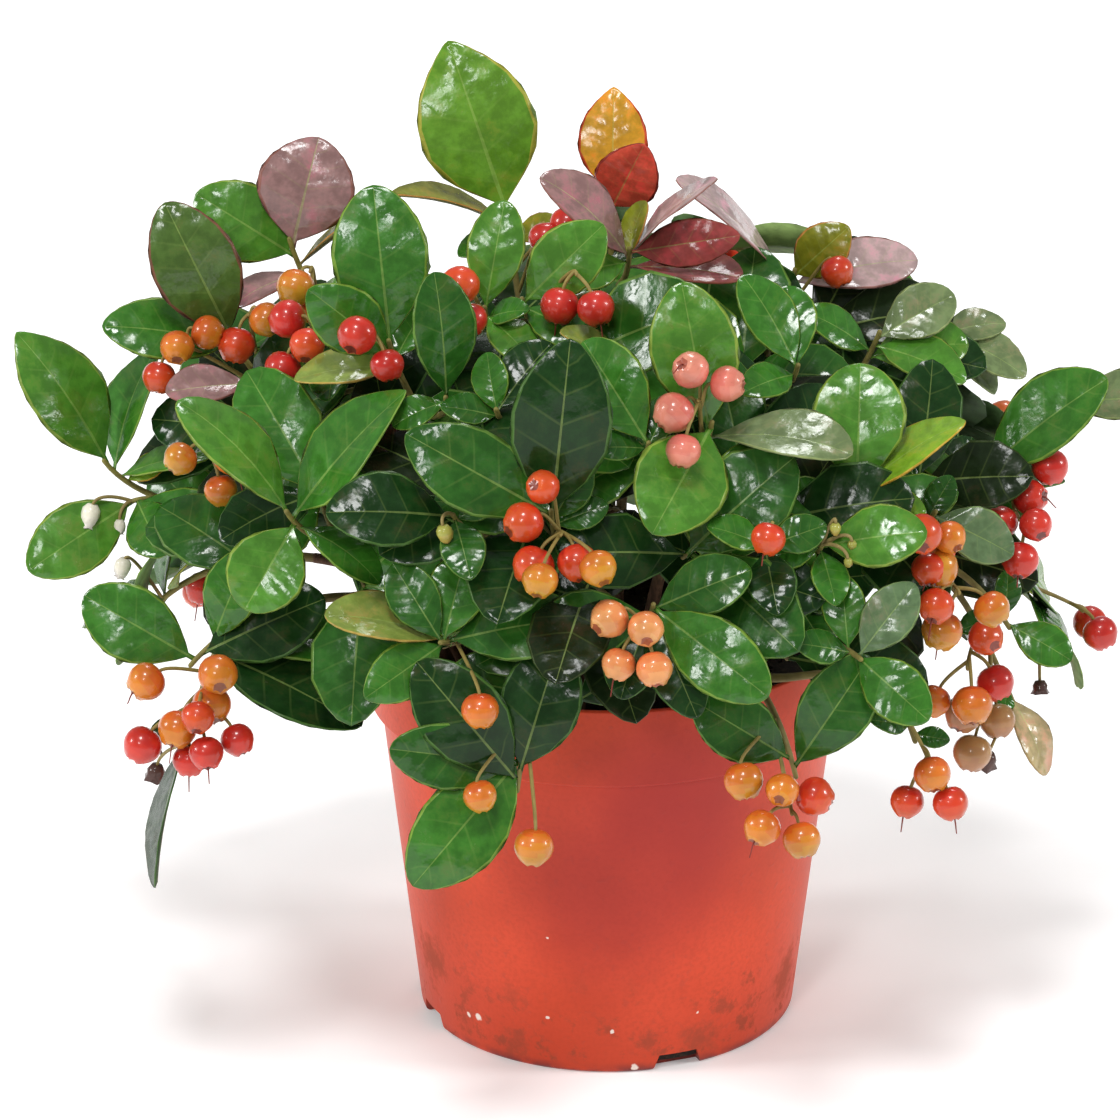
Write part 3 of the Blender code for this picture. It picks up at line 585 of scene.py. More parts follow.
def aimed_leaf(base, turn, axis, heading, seen, roll, cup, name, facing=False, breadth=None):
    """A leaf whose heading and length are as seen in the sheet of its side.

    It lies across the spray's axis, and turns its face to the sheet as far as its own length needs,
    or altogether where it is said to face us.
    """
    right, lift, out = sheet(turn)
    angle = math.radians(heading)
    flat = right * math.cos(angle) + lift * math.sin(angle)
    for share in (1.0,) if facing else LEAF_TURNS:
        face = (axis.lerp(out, share) - flat * math.tan(math.radians(cup))).normalized()
        along = flat - out * (flat.dot(face) / max(LEAST_FACING, out.dot(face)))
        length = seen * MM * along.length
        if length < LEAF_LONGEST:
            break
    length = min(LEAF_LONGEST, length)
    along.normalize()
    face = (face - along * face.dot(along)).normalized()
    ways = [Matrix.Rotation(math.radians(way * roll), 3, along) @ face for way in (1.0, -1.0)]
    face = max(ways, key=lambda way: way.z) if facing else ways[0]
    chance = seeded(name, "leaf")
    width = length * (breadth or chance.uniform(*LEAF_BREADTHS))
    bend = math.radians(chance.uniform(*LEAF_BENDS))
    fold = chance.uniform(*LEAF_FOLDS)
    return Leaf(base, along, face, length, width, bend, fold)


# Where a leaf can't keep its place, it turns, lifts or shortens by these steps in turn.
LEAF_SHIFTS = (
    (0, 0, 1.0), (0, 8, 1.0), (0, -8, 1.0), (7, 0, 1.0), (-7, 0, 1.0), (5, 14, 0.96), (-5, 14, 0.96),
    (12, 6, 0.94), (-12, 6, 0.94), (0, -16, 0.92), (14, -10, 0.9), (-14, -10, 0.9), (0, 22, 0.88),
    (18, 14, 0.86), (-18, 14, 0.86), (22, 0, 0.82), (-22, 0, 0.82), (0, 30, 0.8), (26, 22, 0.76),
    (-26, 22, 0.76), (10, -22, 0.75), (-10, -22, 0.75),
)


def settle_leaf(room, owner, name, spot, heading, seen, roll, cup, shifts=LEAF_SHIFTS, floor=0.0, **look):
    """The leaf in the first of its shifted places that has room for it, or None."""
    for sway, raised, scale in shifts:
        leaf = aimed_leaf(*spot, heading + sway, seen * scale, roll, cup + raised, name, **look)
        if (leaf.base + leaf.along * leaf.length).z > floor and room.leaf_clear(leaf, owner):
            room.add_leaf(leaf, owner)
            return leaf
    return None


def grow_leaves(room, owner, index, spray, axis, mass):
    """The leaves of one spray, the last of them lowest on the stem."""
    for i, entry in enumerate(spray.leaves):
        heading, seen, roll, breadth, tip_lift = (*entry, None, None, None)[:5]
        name = f"{owner} {index} {i}"
        chance = seeded(name, "aim")
        cup = chance.uniform(*LEAF_CUPS) if tip_lift is None else tip_lift
        tilt = chance.uniform(*LEAF_TILTS) if roll is None else roll
        spot = bezier(mass.stems[index], 1.0 - LEAF_SETBACK * (i + 1)), mass.turn, axis
        leaf = settle_leaf(
            room, owner, name, spot, heading, seen, tilt, cup, facing=roll is not None, breadth=breadth
        )
        if leaf:
            mass.leaves.append((leaf, index, i))


def nearest_on(start, end, spot):
    """The nearest point of a straight stalk."""
    run = end - start
    return start + run * max(0.0, min(1.0, (spot - start).dot(run) / run.dot(run)))


def heaped(balls, stalk):
    """The balls of one cluster, nudged until they stand clear of one another and of the stalk."""
    for _ in range(HEAP_ROUNDS):
        for i, (a, a_radius) in enumerate(balls):
            for b, b_radius in balls[:i]:
                apart = a - b
                short = a_radius + b_radius + BERRY_GAP - apart.length
                if short > 0.0:
                    push = apart.normalized() * (short * HEAP_PUSH)
                    a += push
                    b -= push
            off = a - nearest_on(*stalk, a)
            if off.length < a_radius + STALK_ROOM:
                a += off.normalized() * (a_radius + STALK_ROOM - off.length)
    return balls


def grow_fruit(owner, index, spray, turn, place, curve):
    """Berries round the end of each cluster's stalk, their own stalks spaced out along it."""
    right, lift, out = sheet(turn)
    stalks = []
    berries = []
    for j, (aside, above, count) in enumerate(spray.fruit):
        chance = seeded(owner, index, j, "fruit")
        middle = place + (right * aside + lift * above + out * FRUIT_FORWARD) * MM
        hub = middle + UP * BERRY_RADIUS * (1.5 if count < 4 else 0.3)
        spread = BERRY_RADIUS * count ** 0.4
        balls = []
        for _ in range(count):
            offset = Vector(chance.uniform(-1.0, 1.0) for _ in range(3)) * spread
            spot = middle + right * offset.x + lift * offset.y + out * abs(offset.z)
            balls.append((spot, BERRY_RADIUS * chance.uniform(*BERRY_SIZES)))
        heaped(balls, (bezier(curve, STALK_START), hub))
        balls.sort(key=lambda ball: ball[0].z)
        start = bezier(curve, STALK_START - STALK_PITCH * j)
        stalks.append((start, hub))
        back = start - hub
        for k, (spot, radius) in enumerate(balls):
            out_at = math.hypot(spot.x, spot.y)
            if spot.z < POT_HEIGHT + radius + MM and out_at < RIM_RADIUS + radius + MM:
                spot += out * (RIM_RADIUS + radius + MM - out_at)
            root = hub + back * min(0.9, (k + 0.5) * ROOT_PITCH / back.length)
            berries.append(Berry(spot, radius, root, j))
    return stalks, berries


def jitter(chance, amount):
    return Vector(chance.uniform(-amount, amount) for _ in range(3))


def bent_limb(start, rise, place, axis, wobble):
    """A limb that leaves its foot upwards and comes to the spray along the spray's axis."""
    out = Vector((place.x, place.y, 0.0))
    out = out.normalized() if out.length > 1.0 * MM else Vector((1.0, 0.0, 0.0))
    span = (place - start).length
    low = max(0.0, LOW_BEND_HEIGHT - place.z)
    back = out * (BEND_OUT * span) * min(1.0, low / BEND_FADE)
    back += axis * BEND_ALONG * span * max(0.0, 1.0 - low / BEND_FADE)
    return (
        start.copy(),
        start + rise * max(RISES[0], min(RISES[1], RISE_SHARE * span)) + wobble,
        place - back + UP * BEND_UNDER * low + wobble * 0.6,
        place.copy(),
    )


def grow_limbs(room, name, turn, sprays):
    """The mass's bough and stems, bent a little further each time they would touch another limb."""
    places = [spray_place(spray, turn) for spray in sprays]
    axes = [spray_axis(place, turn) for place in places]
    chance = seeded(name, "limbs")
    for attempt in range(LIMB_TRIES):
        loose = min(1.0, attempt / LOOSE_AFTER)
        middle = places[0]
        foot = Vector((middle.x, middle.y, 0.0)) * FOOT_RING
        foot = Matrix.Rotation(chance.uniform(-FOOT_SWING, FOOT_SWING) * loose, 3, "Z") @ foot
        foot += jitter(chance, FOOT_DRIFT * loose)
        foot = foot.normalized() * min(foot.length, FOOT_REACH)
        foot.z = SOIL_TOP + GAP + FOOT_LIFT
        lean = (UP + Vector((foot.x, foot.y, 0.0)).normalized() * FOOT_LEAN).normalized()
        curve = bent_limb(foot, lean, middle, axes[0], jitter(chance, BOUGH_DRIFT * loose))
        step = (GAP + 0.1 * MM) / (bezier(curve, BOUGH_SHARE + 0.01) - bezier(curve, BOUGH_SHARE)).length
        start = BOUGH_SHARE + 0.01 * step
        beads = beads_of(run_of(curve, LIMB_STEPS, 0.0, BOUGH_SHARE), BOUGH_RADII)
        beads += beads_of(run_of(curve, LIMB_STEPS, start), STEM_RADII)
        stems = [curve]
        for place, axis in zip(places[1:], axes[1:]):
            fork, beyond = (bezier(curve, start + share) for share in FORK_SHARES)
            ahead = (beyond - fork).normalized()
            twig = bent_limb(fork, ahead, place, axis, jitter(chance, STEM_DRIFT * loose))
            beads += beads_of(run_of(twig, LIMB_STEPS), STEM_RADII)
            stems.append(twig)
        if room.limb_clear(beads, name):
            break
    else:
        raise RuntimeError(f"{name} finds no way through")
    room.add_beads(beads, name)
    return stems, list(zip(sprays, places, axes))


def hang_fruit(room, owner, stalks, berries):
    """The clusters and berries that stand clear of the other masses."""
    good = {}
    for j, stalk in enumerate(stalks):
        beads = beads_of(stalk, (STALK_RADIUS, STALK_RADIUS))
        if room.limb_clear(beads, owner):
            room.add_beads(beads, owner)
            good[j] = stalk
    kept = []
    for berry in berries:
        ball = [(berry.centre, berry.radius)]
        hang = beads_of((berry.hub, berry.centre), (PEDICEL_RADIUS, PEDICEL_RADIUS))
        if berry.cluster in good and room.limb_clear(ball + hang, owner):
            room.add_beads(ball, owner, True)
            room.add_beads(hang, owner)
            kept.append(berry)
    used = {berry.cluster for berry in kept}
    return [stalk for j, stalk in good.items() if j in used], kept


def grow_crown(room):
    """Every mass: limbs first, then fruit, then leaves wherever there is room."""
    masses = {}
    for name, (turn, sprays) in crown_layout().items():
        masses[name] = Mass(turn, *grow_limbs(room, name, turn, sprays), [], [])
    for name, mass in masses.items():
        for index, (spray, place, _) in enumerate(mass.sprays):
            stalks, berries = grow_fruit(name, index, spray, mass.turn, place, mass.stems[index])
            mass.fruits.append(hang_fruit(room, name, stalks, berries))
    for name, mass in masses.items():
        for index, (spray, _, axis) in enumerate(mass.sprays):
            grow_leaves(room, name, index, spray, axis, mass)
    return masses


def grow_inner(room, name, mass):
    """Side twigs on the mass's stems, with older leaves wherever there is room."""
    chance = seeded(name, "inner")
    out = sheet(mass.turn)[2]
    twigs, leaves = [], []
    for index, curve in enumerate(mass.stems):
        for step in range(INNER_TWIGS):
            share = INNER_START + (INNER_END - INNER_START) * (step + chance.random()) / INNER_TWIGS
            fork = bezier(curve, share)
            ahead = (bezier(curve, share + 0.02) - fork).normalized()
            side = ahead.cross(jitter(chance, 1.0)).normalized()
            reach = chance.uniform(*INNER_REACH)
            tip = fork + (side + ahead * 0.5 + UP * 0.25).normalized() * reach
            if tip.z < INNER_FLOOR or squeezed(tip - DOME_CENTRE).length > INNER_DEPTH:
                continue
            twig = (fork, fork + (ahead + side) * reach * 0.3, tip - side * reach * 0.2, tip)
            off = squeezed(squeezed(tip - DOME_CENTRE)).normalized()
            axis = (off * 0.6 + UP * 0.5 + side * 0.3 + out * 0.3).normalized()
            start = chance.uniform(0.0, 360.0)
            found = []
            for i in range(INNER_LEAVES):
                spot = bezier(twig, 1.0 - INNER_SETBACK * i), mass.turn, axis
                found.append(settle_leaf(
                    room, name, f"{name} inner {index} {step} {i}", spot, start + GOLDEN_TURN * i,
                    chance.uniform(*INNER_LENGTHS), 0.0, INNER_CUP, LEAF_SHIFTS[:INNER_TRIES], LEAF_FLOOR,
                ))
            found = [leaf for leaf in found if leaf]
            if found:
                twigs.append(twig)
                leaves += found
    return twigs, leaves


@functools.cache
def crown():
    """The whole plant: every mass with its outer sprays, and the inner twigs behind them."""
    room = Room()
    masses = grow_crown(room)
    return masses, {name: grow_inner(room, name, mass) for name, mass in masses.items()}


def pot_profile():
    """From the middle of the floor, up the inside, over the rim and down the outside to the foot."""
    step_top = POT_HEIGHT - BAND_HEIGHT
    under = RIM_RADIUS - BAND_TAPER
    body_top = body_radius(step_top)
    return (
        (0.0, FLOOR),
        (body_radius(FLOOR) - WALL, FLOOR),
        (body_top - WALL, step_top),
        (under - WALL, step_top + WALL),
        (RIM_RADIUS - WALL, POT_HEIGHT - RIM_ROUND),
        (RIM_RADIUS - WALL + RIM_ROUND, POT_HEIGHT),
        (RIM_RADIUS - RIM_ROUND, POT_HEIGHT),
        (RIM_RADIUS, POT_HEIGHT - RIM_ROUND),
        (under, step_top + RIM_ROUND),
        (under - RIM_ROUND, step_top),
        (body_top, step_top),
        (FOOT_RADIUS, 2.0 * RIM_ROUND),
        (FOOT_RADIUS - 2.0 * RIM_ROUND, 0.0),
        (0.0, 0.0),
    )


def template(name, shape):
    """An object, in no scene yet, of a finished shape."""
    mesh = bpy.data.meshes.new(name)
    shape.to_mesh(mesh)
    shape.free()
    return bpy.data.objects.new(name, mesh)


def notch_cutter(index, group):
    """A block, narrower at the top, set across the foot of the wall."""
    shape = bmesh.new()
    bmesh.ops.create_cube(shape, size=1.0)
    for vert in shape.verts:
        top = vert.co.z > 0.0
        vert.co.x *= NOTCH_TOP_WIDTH if top else NOTCH_FOOT_WIDTH
        vert.co.y *= NOTCH_DEPTH
        vert.co.z = NOTCH_HEIGHT if top else -MM
    ob = template(f"notch_{index + 1}", shape)
    group.objects.link(ob)
    turn = NOTCH_TURN + math.tau * index / NOTCHES
    ob.location = Vector((math.cos(turn), math.sin(turn), 0.0)) * FOOT_RADIUS
    ob.rotation_euler.z = turn - math.pi / 2.0


# Colours of the leaves, by tint: upper side, thin edge and underside.
TINTS = {
    # The near-black shade tint stands in for the shadow in the crown's gaps: painted shade on inner leaves.
    "shade": ((0.011, 0.022, 0.007), (0.03, 0.05, 0.01), (0.04, 0.07, 0.03)),
    "deep": ((0.009, 0.038, 0.007), (0.05, 0.12, 0.02), (0.06, 0.12, 0.05)),
    "dark": ((0.020, 0.094, 0.010), (0.10, 0.20, 0.03), (0.09, 0.17, 0.06)),
    "mid": ((0.034, 0.150, 0.013), (0.15, 0.26, 0.03), (0.14, 0.24, 0.08)),
    "light": ((0.066, 0.212, 0.020), (0.20, 0.30, 0.04), (0.20, 0.31, 0.12)),
    "bright": ((0.108, 0.262, 0.018), (0.32, 0.32, 0.04), (0.24, 0.36, 0.11)),
    "yellow": ((0.180, 0.345, 0.018), (0.48, 0.30, 0.03), (0.30, 0.42, 0.12)),
    "pale": ((0.215, 0.290, 0.055), (0.42, 0.30, 0.06), (0.33, 0.37, 0.15)),
    # grey: greyish leaves, partly their own colour and partly painted sheen that stands in for glare on them.
    "grey": ((0.150, 0.210, 0.085), (0.24, 0.30, 0.11), (0.30, 0.36, 0.22)),
    "sage": ((0.098, 0.165, 0.072), (0.16, 0.24, 0.08), (0.22, 0.28, 0.16)),
    "straw": ((0.400, 0.320, 0.160), (0.34, 0.24, 0.10), (0.40, 0.32, 0.16)),
    "dusk": ((0.064, 0.128, 0.022), (0.16, 0.07, 0.04), (0.16, 0.13, 0.09)),
    "plum": ((0.180, 0.056, 0.050), (0.18, 0.05, 0.03), (0.26, 0.15, 0.14)),
    "wine": ((0.300, 0.056, 0.052), (0.24, 0.06, 0.04), (0.32, 0.16, 0.13)),
    "mauve": ((0.270, 0.150, 0.142), (0.24, 0.10, 0.08), (0.34, 0.24, 0.21)),
    # lilac: pale mauve, partly the leaves' own colour and partly painted sheen that stands in for glare on
    # them.
    "lilac": ((0.420, 0.300, 0.290), (0.26, 0.12, 0.10), (0.38, 0.28, 0.24)),
    "red": ((0.680, 0.085, 0.050), (0.26, 0.03, 0.02), (0.34, 0.10, 0.07)),
    "orange": ((0.540, 0.275, 0.016), (0.50, 0.06, 0.02), (0.48, 0.26, 0.06)),
    "olive": ((0.190, 0.200, 0.014), (0.40, 0.18, 0.03), (0.26, 0.24, 0.09)),
}
RIB_PALE = (0.34, 0.46, 0.12)
RIB_SHARE = 0.3
BRONZE_SHARE = 0.6
LEAF_ZONES = ("upper", "edge", "rib", "under")
LEAF_ROUGHNESS = {"upper": 0.13, "edge": 0.25, "rib": 0.20, "under": 0.55}
LEAF_SHINE = {"upper": 0.46, "edge": 0.3, "rib": 0.3, "under": 0.2}
VEIN_PAIRS = 6

# Colours of the berries: by the stalk, at the free end, and the star there.
FRUITS = {
    "red": ((0.48, 0.015, 0.012), (0.57, 0.036, 0.016), (0.14, 0.016, 0.012)),
    "scarlet": ((0.56, 0.024, 0.011), (0.60, 0.085, 0.011), (0.20, 0.03, 0.014)),
    "orange": ((0.60, 0.075, 0.012), (0.60, 0.225, 0.014), (0.24, 0.06, 0.018)),
    "amber": ((0.58, 0.105, 0.012), (0.52, 0.275, 0.018), (0.26, 0.09, 0.020)),
    "salmon": ((0.62, 0.115, 0.090), (0.70, 0.270, 0.180), (0.36, 0.08, 0.045)),
    "peach": ((0.62, 0.130, 0.035), (0.68, 0.330, 0.110), (0.34, 0.09, 0.040)),
    "old": ((0.42, 0.240, 0.075), (0.38, 0.160, 0.080), (0.12, 0.04, 0.025)),
    "flower": ((0.78, 0.74, 0.60), (0.92, 0.85, 0.80), (0.60, 0.42, 0.32)),
    "bud": ((0.34, 0.34, 0.06), (0.62, 0.36, 0.10), (0.40, 0.16, 0.05)),
    "husk": ((0.075, 0.030, 0.022), (0.080, 0.028, 0.022), (0.025, 0.010, 0.008)),
}
# Berries of one cluster differ a little: each takes one of these.
KIN = {
    "red": ("red", "red", "scarlet"), "scarlet": ("scarlet", "red", "orange"),
    "orange": ("orange", "scarlet", "amber"), "amber": ("amber", "amber", "orange"),
    "salmon": ("salmon",), "peach": ("peach", "peach", "salmon"), "old": ("old",),
}

# Flowers, buds and dry husks: across, up, forward and radius in millimetres, as for the sprays.
TRIMMINGS = {
    "flower": ((-128, 121, 4, 2.4), (-120, 108, 4, 2.1), (-121, 118, 2, 1.5)),
    "bud": ((-39, 116, 5, 2.0), (53, 117, 6, 1.4), (57, 113, 6, 1.2), (62, 114, 6, 1.2), (56, 109, 6, 1.1)),
    "husk": ((-113, 64, 2, 2.6), (-112, 57, 2, 2.4), (92, 61, 2, 2.4), (107, 78, 2, 2.0)),
}
TRIM_PROFILES = {
    "flower": ((0.55, -0.95), (0.95, -0.45), (1.0, 0.2), (0.8, 0.9), (0.5, 1.3), (0.66, 1.5), (0.3, 1.3)),
    "bud": ((0.6, -0.8), (0.95, -0.3), (1.0, 0.2), (0.75, 0.8), (0.4, 1.2), (0.15, 1.4)),
    "husk": ((0.6, -0.8), (0.95, -0.2), (0.9, 0.3), (1.15, 0.85), (0.7, 0.5), (0.4, 0.1)),
}
TRIM_SIDES = 10

# The tints of each spray's leaves, in their order, and of its berries.
LOOKS = {
    ("far_left", 0): ("light mid light yellow", "red"),
    ("far_left", 1): ("light mid mid", "red"),
    ("front_low", 0): ("deep deep dark mid", "amber"),
    ("front_right", 0): ("dark dark", "orange"),
    ("front_right", 1): ("dark dark", "scarlet"),
    ("middle_right", 0): ("light light grey mid", "salmon"),
    ("middle_right", 1): ("dark mid deep", "scarlet"),
    ("centre", 0): ("dark deep dark dark", "orange"),
    ("centre", 1): ("deep dark dark", "orange"),
    ("left", 0): ("light mid light mid", "red"),
    ("low_left", 0): ("mid deep deep mid mid", "scarlet"),
    ("low_left", 1): ("deep deep", "scarlet"),
    ("low_middle_left", 0): ("dark mid mid dark pale", "amber"),
    ("low_middle", 0): ("mid dark deep dark deep", "peach"),
    ("right", 0): ("light yellow bright mid", "amber"),
    ("right", 1): ("light mid mid", "amber"),
    ("far_right", 0): ("mid dark dark light", "red"),
    ("far_right", 1): ("grey dark", "amber"),
    ("upper_left", 0): ("dusk mid mid", "orange"),
    ("upper_left", 1): ("mauve bright mid", "orange"),
    ("top_left", 0): ("mauve light olive mauve", "amber"),
    ("middle", 0): ("light pale light mid mid", "red"),
    ("middle", 1): ("mid dark dark", "red"),
    ("middle", 2): ("deep mid dark", "red"),
    ("crest_left", 0): ("mid mid mid pale", "red"),
    ("crest_left", 1): ("dark mid dark", "red"),
    ("crest", 0): ("bright olive mid olive", "red"),
    ("crest", 1): ("light light mid", "red"),
    ("red_crest", 0): ("orange red", "red"),
    ("red_crest", 1): ("wine lilac mauve light olive plum", "red"),
    ("red_crest", 2): ("light mid", "red"),
    ("upper_right", 0): ("olive lilac lilac mauve lilac", "scarlet"),
    ("upper_right", 1): ("mid mid mid", "scarlet"),
    # The grey leaves of the shoulder stand partly for glare on them: painted sheen.
    ("shoulder_right", 0): ("grey light mid light", "red"),
    ("shoulder_right", 1): ("grey grey grey", "red"),
    ("hanging_right", 0): ("sage mid dark", "orange"),
    ("hanging_right", 1): ("mid dark dark", "scarlet"),
    ("hanging_right", 2): ("straw mid", "old"),
    ("low_right", 0): ("sage mid dark mid", "red"),
}
# Leaves that are broad near the stalk and come to a point: their mass, spray and place in it.
POINTED = {
    ("crest", 0, 0), ("red_crest", 0, 0), ("far_left", 0, 0), ("left", 0, 1), ("middle", 0, 3),
}
COMMON_TINTS = ("dark", "mid", "light", "dark", "mid", "bright")
COMMON_FRUITS = ("red", "scarlet", "orange")
# Inner leaves: mostly dark greens, with the near-black shade tint as painted shade in the crown's gaps.
INNER_TINTS = ("deep", "shade", "deep", "dark", "mid")


class Node:
    """A node's output, on which Python's operators add Math and Vector Math nodes."""

    def __init__(self, maker, socket):
        self.maker = maker
        self.socket = socket

    @property
    def arrow(self):
        return self.socket.type == "VECTOR"

    def sum(self, operation, *terms):
        arrows = [isinstance(t, (tuple, Vector)) or isinstance(t, Node) and t.arrow for t in terms]
        kind = "ShaderNodeVectorMath" if any(arrows) else "ShaderNodeMath"
        if operation == "MULTIPLY" and any(arrows) and not all(arrows):
            arrow, number = terms if arrows[0] else terms[::-1]
            return self.maker.made(kind, {"operation": "SCALE"}, {0: arrow, "Scale": number})
        return self.maker.made(kind, {"operation": operation}, dict(enumerate(terms)))

    def __add__(self, other):
        return self.sum("ADD", self, other)

    def __radd__(self, other):
        return self.sum("ADD", other, self)

    def __sub__(self, other):
        return self.sum("SUBTRACT", self, other)

    def __rsub__(self, other):
        return self.sum("SUBTRACT", other, self)

    def __mul__(self, other):
        return self.sum("MULTIPLY", self, other)

    def __rmul__(self, other):
        return self.sum("MULTIPLY", other, self)

    def __truediv__(self, other):
        return self.sum("DIVIDE", self, other)

    def __pow__(self, other):
        return self.sum("POWER", self, other)

    def cross(self, other):
        return self.maker.made("ShaderNodeVectorMath", {"operation": "CROSS_PRODUCT"}, {0: self, 1: other})

    def length(self):
        return self.maker.made("ShaderNodeVectorMath", {"operation": "LENGTH"}, {0: self}, "Value")

    def parts(self):
        split = self.maker.node("ShaderNodeSeparateXYZ", {}, {0: self})
        return [Node(self.maker, split.outputs[i]) for i in range(3)]

    def call(self, operation, *others):
        return self.sum(operation, self, *others)

    def ramp(self, low, high, smooth=True):
        """0 up to low and 1 from high on."""
        return self.maker.made(
            "ShaderNodeMapRange",
            {"interpolation_type": "SMOOTHSTEP" if smooth else "LINEAR"},
            {"Value": self, "From Min": low, "From Max": high},
        )


class Maker:
    """Makes the nodes of one tree."""

    def __init__(self, tree):
        self.tree = tree

    def node(self, kind, settings=None, inputs=None):
        made = self.tree.nodes.new(kind)
        for name, value in (settings or {}).items():
            setattr(made, name, value)
        for key, value in (inputs or {}).items():
            socket = made.inputs[key]
            if isinstance(value, Node):
                self.tree.links.new(value.socket, socket)
            else:
                socket.default_value = value
        return made

    def made(self, kind, settings=None, inputs=None, output=0):
        return Node(self, self.node(kind, settings, inputs).outputs[output])

    def noise(self, place, scale, detail=2.0, roughness=0.5):
        inputs = {"Vector": place, "Scale": scale, "Detail": detail, "Roughness": roughness}
        return self.made("ShaderNodeTexNoise", {}, inputs, "Fac")

    def mix(self, factor, low, high):
        """A colour that goes from low to high."""
        inputs = {"Factor": factor, 6: colour_of(low), 7: colour_of(high)}
        return self.made("ShaderNodeMix", {"data_type": "RGBA"}, inputs, 2)

    def field(self, name, kind="FLOAT"):
        return self.made("GeometryNodeInputNamedAttribute", {"data_type": kind}, {"Name": name})

    def dressed(self, geometry, materials):
        """The geometry, its faces of zone 0, 1, 2 and on in these materials."""
        zone = self.field("zone", "INT")
        for number, material in enumerate(materials):
            settings = {"data_type": "INT", "operation": "EQUAL"}
            chosen = self.made("FunctionNodeCompare", settings, {2: zone, 3: number})
            inputs = {"Geometry": geometry, "Selection": chosen, "Material": material}
            geometry = self.made("GeometryNodeSetMaterial", {}, inputs)
        return geometry

    def end(self, geometry):
        """Leads the geometry out of the tree."""
        self.node("NodeGroupOutput", {}, {0: geometry})


def colour_of(value):
    return value if isinstance(value, Node) else (*value, 1.0)


def finish(name, colour, roughness, coat=0.0, shine=0.3):
    """A plain glossy or matt finish."""
    mat = bpy.data.materials.new(name)
    mat.use_nodes = True
    mat.diffuse_color = (*colour, 1.0)
    shader = mat.node_tree.nodes["Principled BSDF"]
    shader.inputs["Base Color"].default_value = (*colour, 1.0)
    shader.inputs["Roughness"].default_value = roughness
    shader.inputs["Coat Weight"].default_value = coat
    shader.inputs["Coat Roughness"].default_value = 0.07
    shader.inputs["Specular IOR Level"].default_value = shine
    return mat


def patterned(mat, colour, roughness, height, depth, strength):
    """Puts patterns behind a finish's colour, roughness and relief."""
    inputs = {"Strength": strength, "Distance": depth, "Height": height}
    bump = Maker(mat.node_tree).made("ShaderNodeBump", {}, inputs)
    shader = mat.node_tree.nodes["Principled BSDF"]
    for name, pattern in (("Base Color", colour), ("Roughness", roughness), ("Normal", bump)):
        mat.node_tree.links.new(pattern.socket, shader.inputs[name])
    return mat


def toned(colour, factor):
    """The colour made lighter or darker."""
    return [min(1.0, c * factor) for c in colour]


def place_in(mat):
    """A maker for a material's tree and the place on the object."""
    maker = Maker(mat.node_tree)
    return maker, maker.made("ShaderNodeTexCoord", {}, {}, "Object")


def new_tree(name, inputs):
    """A geometry tree with named inputs, its maker and its input node."""
    tree = bpy.data.node_groups.new(name, "GeometryNodeTree")
    face = tree.interface
    face.new_socket("Geometry", in_out="INPUT", socket_type="NodeSocketGeometry")
    for label, (kind, default) in inputs.items():
        socket = face.new_socket(label, in_out="INPUT", socket_type="NodeSocket" + kind)
        if default is not None:
            socket.default_value = default
    face.new_socket("Geometry", in_out="OUTPUT", socket_type="NodeSocketGeometry")
    maker = Maker(tree)
    given = tree.nodes.new("NodeGroupInput")
    return tree, maker, {socket.name: Node(maker, socket) for socket in given.outputs if socket.name}


def run_tree(name, source, tree, values):
    """A piece whose mesh is what the tree makes of the source mesh."""
    carrier = bpy.data.objects.new(name, source)
    bpy.context.scene.collection.objects.link(carrier)
    modifier = carrier.modifiers.new(tree.name, "NODES")
    modifier.node_group = tree
    for item in tree.interface.items_tree:
        if item.in_out == "INPUT" and item.name in values:
            modifier[item.identifier] = values[item.name]
    depsgraph = bpy.context.evaluated_depsgraph_get()
    mesh = bpy.data.meshes.new_from_object(
        carrier.evaluated_get(depsgraph), preserve_all_data_layers=True, depsgraph=depsgraph
    )
    carrier.modifiers.remove(modifier)
    bpy.data.objects.remove(carrier)
    if not mesh.polygons:
        raise RuntimeError(f"{name} came out empty")
    for layer in [layer.name for layer in mesh.attributes if not layer.is_internal and not layer.is_required]:
        if layer not in ("sharp_edge", "sharp_face", "material_index", "blade"):
            mesh.attributes.remove(mesh.attributes[layer])
    mesh.name = name
    piece = bpy.data.objects.new(name, mesh)
    bpy.context.scene.collection.objects.link(piece)
    return piece


def joins(piece, slot, *replaced):
    """Rides the piece on the plant's one body and hides the solids it stands for; its slot is not used."""
    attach(piece, "root")
    if replaced:
        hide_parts(*replaced)


def set_layer(mesh, name, kind, domain, values):
    layer = mesh.attributes.new(name, kind, domain)
    key = "vector" if kind == "FLOAT_VECTOR" else "value"
    flat = [c for value in values for c in value] if key == "vector" else list(values)
    layer.data.foreach_set(key, flat)


def points_mesh(name, places, layers):
    """Loose points that carry a value each in every named layer."""
    mesh = bpy.data.meshes.new(name)
    mesh.from_pydata(places, [], [])
    for label, (kind, values) in layers.items():
        set_layer(mesh, label, kind, "POINT", values)
    return mesh


# A limb ends round: how far on from its last point, and how thick there, both against its end's radius.
LIMB_TIP = ((0.5, 0.86), (0.85, 0.5), (1.0, 0.1))


def lines_mesh(name, lines):
    """Paths as loose edges, with a radius at each point."""
    places, edges, radii = [], [], []
    for points, (start, end) in lines:
        last = len(points) - 1
        ahead = (points[-1] - points[-2]).normalized()
        line = [(point, start + (end - start) * i / last) for i, point in enumerate(points)]
        line += [(points[-1] + ahead * end * share, end * thick) for share, thick in LIMB_TIP]
        edges += [(len(places) + i, len(places) + i + 1) for i in range(len(line) - 1)]
        places += [point for point, _ in line]
        radii += [radius for _, radius in line]
    mesh = bpy.data.meshes.new(name)
    mesh.from_pydata(places, edges, [])
    set_layer(mesh, "thickness", "FLOAT", "POINT", radii)
    return mesh


